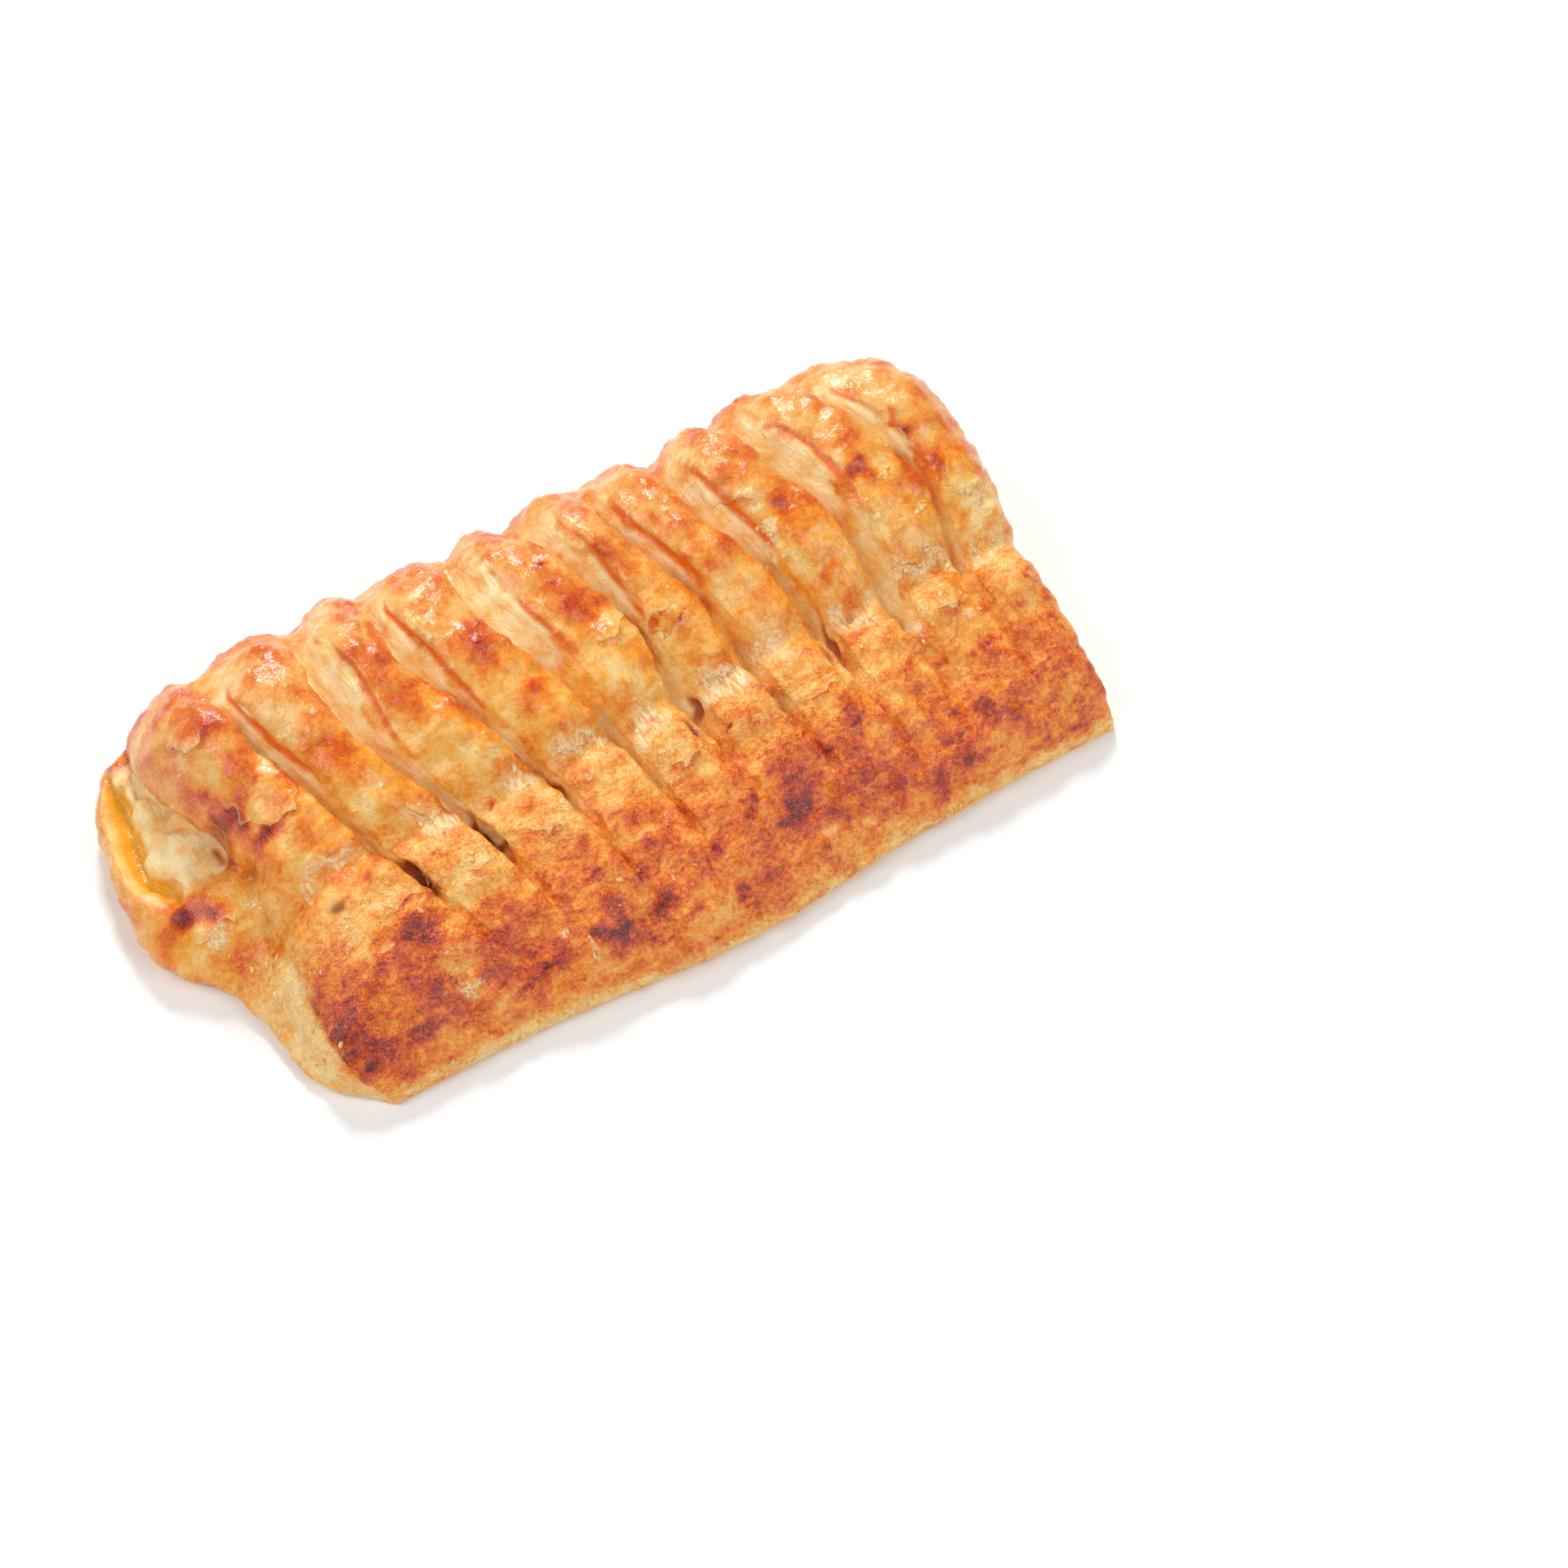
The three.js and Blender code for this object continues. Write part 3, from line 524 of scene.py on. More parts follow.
# Where the crust has burst along the crease and the cottony inside of the dough shows
TORN_SPOTS = [
    (-53, -6.4, 4.6, 1.1, 0.7), (-57.6, -7.6, 1.8, 1.6, 0.5), (-33.4, -8.2, 3, 2.8, 0.8),
    (-36.6, -5.4, 2.6, 1.6, 0.4), (-18.4, -8.2, 2.8, 2, 1), (-22.6, -7.4, 2, 1.4, 0.5),
    (-9.4, -7.2, 3.2, 1.3, 0.9), (-4.4, -7, 2.6, 1.2, 0.8), (-7, -12.2, 3.2, 0.8, 0.5),
    (6.2, -8.8, 3.4, 2.6, 0.9), (3, -10.8, 1.8, 2, 0.9), (17.8, -8.4, 2.6, 2.4, 1),
    (21.6, -9.2, 3, 2.8, 1), (30.2, -6.8, 3.6, 2.2, 0.9), (31.4, -10, 3, 1, 0.5), (43.8, -7.2, 1.7, 2, 1),
    (46.8, -9.4, 2.8, 1.8, 0.9), (49.8, -6.4, 1, 2.4, 0.5), (61, -5.5, 6.4, 1, 1),
    (66.6, -6.4, 1.4, 2.4, 1), (57, -6.6, 1.6, 0.9, 0.8), (70.5, -8, 0.9, 3, 1),
    (72.6, -9.7, 2.2, 0.9, 0.9), (76, -7.4, 2.6, 2, 0.5, 0.8), (75.6, 0, 3.6, 1.2, 0.5),
    (-68, -9.6, 1.2, 4, 0.4), (-72.4, -1.6, 3.4, 1, 0.8), (-40, 0.6, 0.5, 3.6, 0.5, -0.3),
    (-50.6, -22.4, 1.5, 1, 0.9, 0.4), (-55.4, -19, 1.4, 0.7, 0.6), (-42.3, -32.2, 0.5, 1.8, 0.9),
    (-39.8, -27.6, 1.4, 0.4, 0.6), (-23.4, -33, 0.9, 0.7, 0.7), (-21, -37, 0.4, 2, 0.7),
    (-8.6, -37.6, 0.4, 1.6, 0.5), (24.4, -36.4, 1.6, 1, 0.5), (63.8, -17, 0.8, 2, 0.5),
    (38.8, 7, 1.4, 1, 0.7), (37.4, 11.4, 1.6, 0.6, 0.6), (37, 13.8, 2, 0.5, 0.6),
]

# Where the skin has split or folded at a slit: painted orange glow and shade, for light shining
# through the thin dough and the shade beside the slits
PAINTED_GLOW_SPOTS = [
    (-57.2, 24, 1.1, 4.5, 0.8, -0.15), (-42.6, 24, 1.2, 4, 0.5, 0.3), (-28.2, 23, 1.3, 5.5, 1, 0.2),
    (-13.8, 26.5, 1, 3, 0.8, 0.5), (-15.4, 24, 1.2, 1.2, 0.4), (0.8, 28, 0.6, 3, 0.5, 0.15),
    (2.6, 22.6, 0.8, 2, 0.7, -0.5), (6.2, 21.4, 0.8, 1.4, 0.6), (13, 26, 0.9, 3.5, 0.8, -0.1),
    (16, 26.6, 0.6, 1.6, 0.8), (27.2, 27.2, 1.4, 3.4, 0.9, 0.6), (25.6, 23.6, 0.8, 2, 0.5),
    (41.4, 23.4, 2.4, 2, 0.6, 0.6), (43.4, 27.6, 1, 1.3, 0.7), (57, 28.6, 1.6, 1.4, 0.6, 1.2),
    (57.6, 22.6, 1.6, 2, 0.6, -0.8), (61.6, 19.4, 1.6, 1, 0.5), (-0.6, 5.4, 0.7, 4.6, 0.6, -0.3),
    (53.6, 13, 0.7, 3.6, 0.6, -0.35), (21.8, 4.6, 1.4, 4, 0.6, -0.3), (68.4, 3, 1, 5, 0.5),
    (-36.6, 7.4, 1.2, 2.4, 0.4, -0.6), (-61, 17.4, 1, 1.4, 0.3), (10.8, 5.4, 0.8, 1.8, 0.5, -0.3),
]

# Where the top layers have flaked, in cream patches with sharp edges
FLAKY_SPOTS = [
    (-66, -14, 6, 8, 0.7), (-67, -28, 5, 9, 0.9), (-50, -17, 10, 4, 0.7), (-33, -17, 9, 5, 0.7),
    (-14, -17, 9, 4.5, 0.6), (6, -16, 9, 5, 0.6), (24, -17, 9, 4.5, 0.6), (40, -17, 9, 4, 0.5),
    (60, -14, 9, 4.5, 0.6), (37.6, 12.6, 2.4, 2.6, 0.7), (39, 6.8, 2, 3, 0.8), (62.5, 9, 3.4, 5, 0.6),
    (60, 1, 6, 4, 0.5), (76.5, -3, 4.4, 6, 0.7), (16, 3.4, 4.4, 2.6, 0.6), (9.4, 4.4, 3.4, 1.4, 0.7, 0.6),
    (-64, 20, 2.4, 2, 0.6), (-46, 15.6, 3, 2.4, 0.5), (-49, 27, 3, 4, 0.3), (-66, -2, 4, 3, 0.6),
    (33, 24, 3, 4, 0.35), (48, 17, 3, 5, 0.5), (-22, 20, 2, 5, 0.5), (19, 22, 2, 5, 0.5),
    (-42, -29, 3, 4, 0.6), (-55, -30, 5, 4, 0.45), (-8, -32, 9, 3, 0.35), (-73.5, -2.4, 3, 2, 0.7),
]

# The torn edges of the biggest flakes, each a run of places with the upper layer on its left
FLAKE_EDGES = [
    [(-62.8, 14), (-62, 9.6), (-60.8, 6.4), (-58.6, 4), (-56, 2.4), (-53.4, 2.6), (-51.8, 4.6), (-51, 8)],
    [(2.8, 5.2), (4.4, 3.6), (6.4, 3.8), (8.6, 4.4), (10.2, 6), (11.2, 8.6)],
    [(19.8, 3.4), (18.8, 1.4), (16.8, 0.6), (14.6, 1.2), (13.6, 3.2), (14.8, 4.6), (16.6, 4.2),
     (18.2, 4.8)],
    [(55.6, -4.9), (58, -5.9), (61, -5.3), (64.4, -4.8), (67, -4.2)],
    [(15.4, -6.4), (18, -7.2), (21, -7.6), (24.4, -6.4)],
    [(-11.4, -6.4), (-8.6, -7.4), (-5.6, -7), (-2.4, -5.6)],
    [(-37.6, -5), (-34.6, -6.8), (-31.4, -6.2)],
    [(-66, 24), (-64.4, 20.4), (-61.8, 19.4), (-60, 21)],
    [(31, 24), (33, 17.4), (35.4, 14.4), (38, 14.8), (39.6, 12)],
    [(-76.4, -0.4), (-73.4, -1.6), (-70.2, -1), (-67.4, -2.4)],
    [(-49.2, -16.8), (-46.4, -18.4), (-43.6, -17), (-41, -18)], [(-34, -17.4), (-31, -18.8), (-28.6, -18)],
    [(-21, -16.4), (-18.6, -18.2), (-15, -18)], [(4, -16.4), (7.4, -18.6), (10.6, -18)],
    [(58, -14.4), (61.4, -16), (64.8, -14.6)], [(28.4, -17), (31.6, -18.8), (35.4, -17.4), (37.6, -18.4)],
    [(-44, -31), (-42.6, -33.6), (-40.4, -32)], [(71.6, 1.4), (74.4, -0.6), (78, 1)],
]

# Openings beside the slits and pits in the crust, where the strength is their depth. They are
# sunk into the skin and darkened with painted shade.
OPENINGS = [
    (-41, -14.4, 0.8, 4, 1.8, -0.45), (-27.4, -13, 0.5, 5, 1.6, -0.3), (-13.6, -9.6, 0.4, 3.6, 1, -0.3),
    (11.6, -13.4, 0.9, 2.6, 1.8, -0.2), (13.9, -9, 0.8, 2.2, 1.6, -0.25),
    (26.3, -15.4, 0.7, 3.6, 1.6, -0.25), (38.7, -12.6, 0.8, 2.4, 1.6), (41, -9, 0.5, 3.6, 1.2, -0.1),
    (52.4, -13, 0.6, 3, 1), (-55.2, -13.7, 0.9, 1.6, 1.5, -0.5), (-65.4, 10.4, 1.1, 2, 1, -0.5),
    (-62.7, 1.6, 0.4, 4, 0.9, -0.3), (45.6, -7.8, 1.2, 1, 0.7), (-63.9, 20.6, 0.4, 2, 0.5, -0.6),
    (6.4, -9, 0.9, 0.6, 0.7),
]


def flake_edges(x, y):
    """The distance in millimetres from the nearest torn edge of a big flake, above 0 on the flake
    and below 0 beside it, and how much of the flake stands up there."""
    ragged_x, ragged_y = ragged(x, y, 1, (0.8, 1.9, 5), (0.5, 0.9, 9))
    nearest, beside, fade = 0 * x + 99, 0 * x + 1, 0 * x
    for run in FLAKE_EDGES:
        length = len(run) - 1
        for i in range(length):
            (from_x, from_y), (to_x, to_y) = run[i], run[i + 1]
            run_x, run_y = to_x - from_x, to_y - from_y
            share = ((ragged_x - from_x) * run_x + (ragged_y - from_y) * run_y) / (run_x**2 + run_y**2)
            along = np.clip(share, 0, 1)
            away = np.hypot(ragged_x - from_x - along * run_x, ragged_y - from_y - along * run_y)
            left_of = np.sign(run_x * (ragged_y - from_y) - run_y * (ragged_x - from_x))
            progress = (i + along) / length
            closer = away < nearest
            beside = np.where(closer, left_of, beside)
            fade = np.where(closer, span((0, 0.2), (1, 0.8), progress), fade)
            nearest = np.minimum(away, nearest)
    return np.clip(nearest, 0, 5) * beside, fade * np.exp(-nearest / 2.4)


def waves(grid, size, along_y=1):
    """The unevenness of a size over the grid, drawn out along y by a share below 1."""
    return unevenness(grid["x"], grid["y"] * along_y, grid["z"], size)


def broken_layers(x, y, z):
    """Where the broken top layers lie, from -1 to 1 and 0 along their edges."""
    sizes = ((1, 5), (0.5, 2.2), (0.3, 1.1))
    return sum(share * unevenness(x * 0.65, y, z, size) for share, size in sizes) / 1.8


def crust_marks(grid):
    """How browned, torn, cut, flaky and buttery each point of the skin is, how much painted orange
    glow and painted shade it has, and where the big flakes end."""
    x, y, z = grid["x"], grid["y"], grid["z"]
    left, right, lump = grid["left"], grid["right"], grid["lump"]
    on_top = ((left == 0) & (right == 0)).astype(float)
    broad = waves(grid, 8)
    fine = waves(grid, 3.4) + 0.5 * waves(grid, 1.7)
    mound = ease(-12, 4, y) * (1 - ease(30, 38, y))
    below_crease = ease(-8, -16, y)
    near_edge = ease(5, 2.5, z) * ease(-34, -38, y)
    well_up = ease(6, 9, z)
    bumps = blisters(x, y, z, 3.6)

    bake = through(BAKE_PLACES, BAKE_LEVELS, np.clip(y, -40, 42)) + 0.05 * broad + 0.07 * fine
    bake += 0.18 * (bumps - 0.25)
    # On the mound each strip is paler towards its left side and browner towards its right: partly its own
    # browning, partly painted sheen on its left side
    bake += on_top * mound * (0.14 * ease(0.3, 0.72, grid["share"]) - 0.08)
    bake -= 0.1 * near_edge + 0.16 * ease(0.02, 0.2, left) * below_crease
    bake += 0.9 * spots(x, y, BROWN_SPOTS) * ease(2, 6, z) * ease(0.4, 0.1, left * below_crease)
    bake += 0.08 * waves(grid, 1) * ease(-22, -28, y) * ease(20, 45, x)

    torn = spots(x, y, TORN_SPOTS) * well_up
    flaky = np.maximum(spots(x, y, FLAKY_SPOTS), 0.8 * near_edge)
    bake -= 0.16 * flaky * (1 - ease(-0.04, 0.04, broken_layers(x, y, z)))
    # Painted shade in the openings, carried by the hollow mark
    opening_shade = 0.6 * spots(x, y, OPENINGS, 0.5)
    paleness = mix(0.3, 1, ease(2, 13, y)) + 0.3 * bell(y, -9, 5) + 0.3 * broad
    climb = grid["climb"] + 0.35 * waves(grid, 3, 0.6) + 0.15 * waves(grid, 1.2)
    cut = grid["cut"] * ease(1.1, 0.7, climb) * ease(-22, -14, y) * np.clip(paleness, 0, 1)
    left_layers = 0.3 * span((0.02, 0.3), (1, 0.94), left) * ease(-9, -16, y)
    right_layers = 0.9 * span((0.06, 0.16), (1, 0.85), right)
    lip_edge = 0.7 * grid["open"] * bell(left, 0.69, 0.03)
    butter = grid["open"] * span((0.52, 0.56), (0.72, 0.66), left) * ease(6, 12, y)
    cut = np.maximum.reduce([cut, left_layers, right_layers, lump, lip_edge, 0.2 * near_edge])
    # Along the crack where each cut face meets its strip's crown: a sunk line, painted orange as glow and
    # shade
    crack = grid["crack"] * span((2, 8), (30, 26), y) * ease(-0.6, 0.1, waves(grid, 3, 0.3))
    amber = spots(x, y, PAINTED_GLOW_SPOTS, 0.6) * well_up + 1.2 * crack
    # Painted orange shade in the dips between the lump's puffs
    amber = amber + 0.25 * lump * ease(0.35, 0.1, blisters(x, y, z, 5))
    # The hollow mark is painted shade: under the mouth's roof, on the floors of deep slits and in the
    # openings
    roof_shade = 0.8 * grid["open"] * bell(left, 0.1, 0.05)
    hollow = np.maximum(grid["floor"] * ease(-30, -24, y), roof_shade) + opening_shade
    marks = dict(bake=bake, torn=torn, cut=cut, flaky=flaky, butter=butter, amber=amber, hollow=hollow)
    marks = {name: np.clip(mark, 0, 1) for name, mark in marks.items()}
    marks["from_edge"], marks["standing"] = flake_edges(x, y)
    marks["standing"] = marks["standing"] * ease(5, 8, z)
    return marks


# The heights of the fine relief, in millimetres
SKIN_WAVES = (0.26, 0.12)
SKIN_BLISTERS = (0.6, 0.4)
SKIN_SINK = 0.28
BROKEN_LAYERS = (0.34, 0.26)
FLAKE_LIFT = 0.4
CUT_LAYERS = 0.08
CUT_WAVES = (0.2, 0.25)
CUT_PITS = 0.6
FLUFF_WAVES = (0.4, 0.2)
FLUFF_RISE = 0.1
LUMP_BLISTERS = (1.8, 0.5)
LUMP_SINK = 0.5
CRACK_DEPTH = 0.6


def flake_relief(grid, marks):
    """Fine relief: blistered skin, broken top layers, the ragged stack of layers on the cut faces
    and ends, the fluff of the torn crease and the openings."""
    x, y, z = grid["x"], grid["y"], grid["z"]
    skin = SKIN_WAVES[0] * waves(grid, 2.9) + SKIN_WAVES[1] * waves(grid, 1.5, 0.7)
    skin = skin + SKIN_BLISTERS[0] * blisters(x, y, z, 3.6)
    skin = skin + SKIN_BLISTERS[1] * blisters(x + 11, y, z, 1.9)
    broken = broken_layers(x, y, z)
    terrace = BROKEN_LAYERS[0] * ease(-0.04, 0.04, broken) + BROKEN_LAYERS[1] * ease(0.24, 0.3, broken)
    end = np.maximum(grid["left"], grid["right"])
    stack_turn = grid["stack"] * 4.2 + 2.4 * waves(grid, 4, 0.5) + 1.2 * waves(grid, 1.8)
    level_turn = z * 3.4 + 2.6 * waves(grid, 5, 0.4) + 1.3 * waves(grid, 1.7)
    layers = CUT_LAYERS * np.where(end > 0, np.sin(level_turn), np.sin(stack_turn))
    ragged_cut = layers + CUT_WAVES[0] * waves(grid, 1.3, 0.6) + CUT_WAVES[1] * waves(grid, 2.8, 0.5)
    pits = -CUT_PITS * ease(0.25, 0.6, waves(grid, 2.1)) * (end > 0)
    fluff = FLUFF_WAVES[0] * waves(grid, 1.5, 0.45) + FLUFF_WAVES[1] * waves(grid, 0.8, 0.6)
    puffs = LUMP_BLISTERS[0] * blisters(x, y, z, 5) + LUMP_BLISTERS[1] * blisters(x, y, z, 2)
    cut, torn = marks["cut"], marks["torn"]
    relief = (skin - SKIN_SINK + (0.12 + 0.88 * marks["flaky"]) * terrace) * (1 - cut) * (1 - torn)
    relief = relief + cut * (ragged_cut + pits) + torn * (fluff + FLUFF_RISE)
    relief = relief + grid["lump"] * (puffs - LUMP_SINK)
    relief = relief - CRACK_DEPTH * grid["crack"] * ease(2, 8, y)
    relief = relief + FLAKE_LIFT * marks["standing"] * ease(-0.4, 0.3, marks["from_edge"])
    return relief * ease(0.2, 2.5, z) - spots(x, y, OPENINGS, 0.5)


def pastry_mesh():
    grid = pastry_grid()
    marks = crust_marks(grid)
    place = np.stack([grid["x"], grid["y"], grid["z"]], axis=-1)
    place = place + outward(place) * flake_relief(grid, marks)[..., None]
    place[..., 2] = np.where(grid["z"] <= 0, 0, np.maximum(place[..., 2], LEAST_SKIN_HEIGHT))

    rows, columns = grid["x"].shape
    number = np.arange(rows * columns).reshape(rows, columns)
    quads = np.stack([number[:-1, :-1], number[:-1, 1:], number[1:, 1:], number[1:, :-1]], axis=-1)
    faces = quads.reshape(-1, 4).tolist()
    at_end = (grid["left"] > 0) | (grid["right"] > 0)
    at_near_edge = (grid["z"] < 9) & (grid["y"] < -34)
    along = np.where(at_near_edge & ~at_end, grid["x"], grid["y"])
    level = np.where(at_end | at_near_edge, grid["z"], grid["stack"])
    corners = [place.reshape(-1, 3)]
    layer_places = [np.stack([along, level], axis=-1).reshape(-1, 2)]
    values = {name: [mark.reshape(-1)] for name, mark in marks.items()}

    def add_base_points(points, bake):
        """Points of the underside, which only has a bake. It returns their numbers."""
        first = sum(len(part) for part in corners)
        corners.append(points)
        layer_places.append(points[:, :2] * (1, 0))
        for name in values:
            values[name].append(bake if name == "bake" else 0 * bake)
        return np.arange(first, first + len(points))

    ring = np.concatenate([number[0], number[1:, -1], number[-1, -2::-1], number[-2:0:-1, 0]])
    rim = corners[0][ring]
    for share in BASE_RINGS:
        inner = rim * (share, share, 0)
        hollow = 0.5 + 0.5 * unevenness(inner[:, 0], inner[:, 1], 0, 7)
        inner[:, 2] = BASE_HOLLOW * hollow * ease(1, 0.95, share)
        bake = BASE_BAKE + 0.12 * unevenness(inner[:, 0], inner[:, 1], 0, 12)
        inner_ring = add_base_points(inner, bake)
        band = [ring, inner_ring, np.roll(inner_ring, -1), np.roll(ring, -1)]
        faces += np.stack(band, axis=-1).tolist()
        ring = inner_ring
    middle = add_base_points(np.array([[0, 0, BASE_MIDDLE]]), np.array([BASE_BAKE]))[0]
    faces += [[a, middle, b] for a, b in zip(ring.tolist(), np.roll(ring, -1).tolist())]

    mesh = bpy.data.meshes.new("pastry_crust")
    mesh.from_pydata((np.concatenate(corners) * MM).tolist(), [], faces)
    for name, parts in values.items():
        attribute = mesh.attributes.new(name, "FLOAT", "POINT")
        attribute.data.foreach_set("value", np.concatenate(parts).astype(np.float32))
    corner_of = np.zeros(len(mesh.loops), np.int32)
    mesh.loops.foreach_get("vertex_index", corner_of)
    layers = np.concatenate(layer_places)[corner_of] * MM
    mesh.uv_layers.new(name="layers").data.foreach_set("uv", layers.astype(np.float32).reshape(-1))
    mesh.shade_smooth()
    mesh.update()
    return mesh


def linear(red, green, blue):
    """A colour given as it shows on screen, from 0 to 255, in the linear values that shaders use."""
    def channel(value):
        share = value / 255
        return share / 12.92 if share <= 0.04045 else ((share + 0.055) / 1.055) ** 2.4
    return (channel(red), channel(green), channel(blue), 1)


def operator(operation, flipped=False):
    """A method of Wire that adds a Math node for an operator, or for its reflected form."""
    def method(self, other):
        values = (other, self) if flipped else (self, other)
        return maths(self.tree, operation, *values)
    return method


class Wire:
    """A socket of a tree of nodes. Sums, differences and products of wires add Math nodes."""

    __add__, __radd__ = operator("ADD"), operator("ADD", flipped=True)
    __sub__, __rsub__ = operator("SUBTRACT"), operator("SUBTRACT", flipped=True)
    __mul__, __rmul__ = operator("MULTIPLY"), operator("MULTIPLY", flipped=True)

    def __init__(self, tree, socket):
        self.tree = tree
        self.socket = socket

    def above(self, limit):
        return maths(self.tree, "GREATER_THAN", self, limit)

    def clipped(self):
        return maths(self.tree, "MINIMUM", maths(self.tree, "MAXIMUM", self, 0.0), 1.0)

    def stepped(self, low, high):
        """0 below low, 1 above high, eased between."""
        limits = {"From Min": low, "From Max": high}
        return add_node(self.tree, "MapRange", dict(interpolation_type="SMOOTHSTEP"), Value=self, **limits)

    def beside(self, name):
        """Another output of the same node."""
        return Wire(self.tree, self.socket.node.outputs[name])


def plug(tree, socket, value):
    if isinstance(value, Wire):
        tree.links.new(value.socket, socket)
    else:
        socket.default_value = value


def maths(tree, operation, first, second):
    node = tree.nodes.new("ShaderNodeMath")
    node.operation = operation
    plug(tree, node.inputs[0], first)
    plug(tree, node.inputs[1], second)
    return Wire(tree, node.outputs[0])


def add_node(tree, kind, settings=None, output=0, **inputs):
    """A node of a kind, by its full name or a shader node's short one. Its settings and ramp stops
    are set first, then its inputs, each found by its name or its identifier."""
    node = tree.nodes.new(kind if "Node" in kind else "ShaderNode" + kind)
    for name, value in (settings or {}).items():
        if name == "stops":
            ramp = node.color_ramp
            while len(ramp.elements) > 1:
                ramp.elements.remove(ramp.elements[-1])
            ramp.elements[0].position, ramp.elements[0].color = value[0]
            for position, color in value[1:]:
                ramp.elements.new(position).color = color
        else:
            setattr(node, name, value)
    for name, value in inputs.items():
        sockets = [s for s in node.inputs if s.enabled and name in (s.name, s.identifier)]
        plug(tree, sockets[0], value)
    outputs = [socket for socket in node.outputs if socket.enabled]
    return Wire(tree, outputs[output])


def add_ramp(tree, share, stops):
    """A colour ramp from stops of a place and a colour as it shows on screen."""
    stops = [(place, linear(*colour)) for place, *colour in stops]
    return add_node(tree, "ValToRGB", dict(stops=stops), Fac=share)


def new_material(name, surface):
    """A material from a function that adds its nodes to a tree and returns its shader."""
    material = bpy.data.materials.new(name)
    material.use_nodes = True
    tree = material.node_tree
    tree.nodes.clear()
    plug(tree, tree.nodes.new("ShaderNodeOutputMaterial").inputs["Surface"], surface(tree))
    return material


# The dough's colours as they show on screen. Each stop of a ramp is its place and its colour.
GOLDEN_SKIN = [
    (0, 253, 217, 148), (0.2, 252, 187, 88), (0.34, 249, 158, 48), (0.46, 240, 130, 22),
    (0.58, 226, 97, 12), (0.7, 200, 66, 12), (0.84, 154, 38, 16), (1, 92, 20, 26),
]
PEACH_SKIN = [
    (0, 250, 214, 150), (0.2, 247, 188, 108), (0.34, 242, 162, 74), (0.46, 236, 134, 50),
    (0.58, 222, 102, 34), (0.7, 197, 68, 28), (0.84, 154, 42, 32), (1, 94, 26, 38),
]
CRUMB = [(0, 240, 156, 68), (0.3, 248, 192, 104), (0.6, 252, 213, 138), (1, 254, 232, 178)]
FLUFF = [(0, 232, 156, 84), (0.5, 243, 192, 124), (1, 250, 222, 176)]
# Painted light and shade: GLINT for tiny highlights, the deep orange for glow through thin dough and shade
# beside slits, SHADE and DEEP_SHADE for shade in slits and openings. BUTTER is the dough's own colour.
GLINT = linear(255, 214, 160)
BUTTER = linear(250, 184, 48)
PAINTED_GLOW = linear(236, 112, 18)
SHADE = linear(206, 116, 42)
DEEP_SHADE = linear(150, 74, 28)


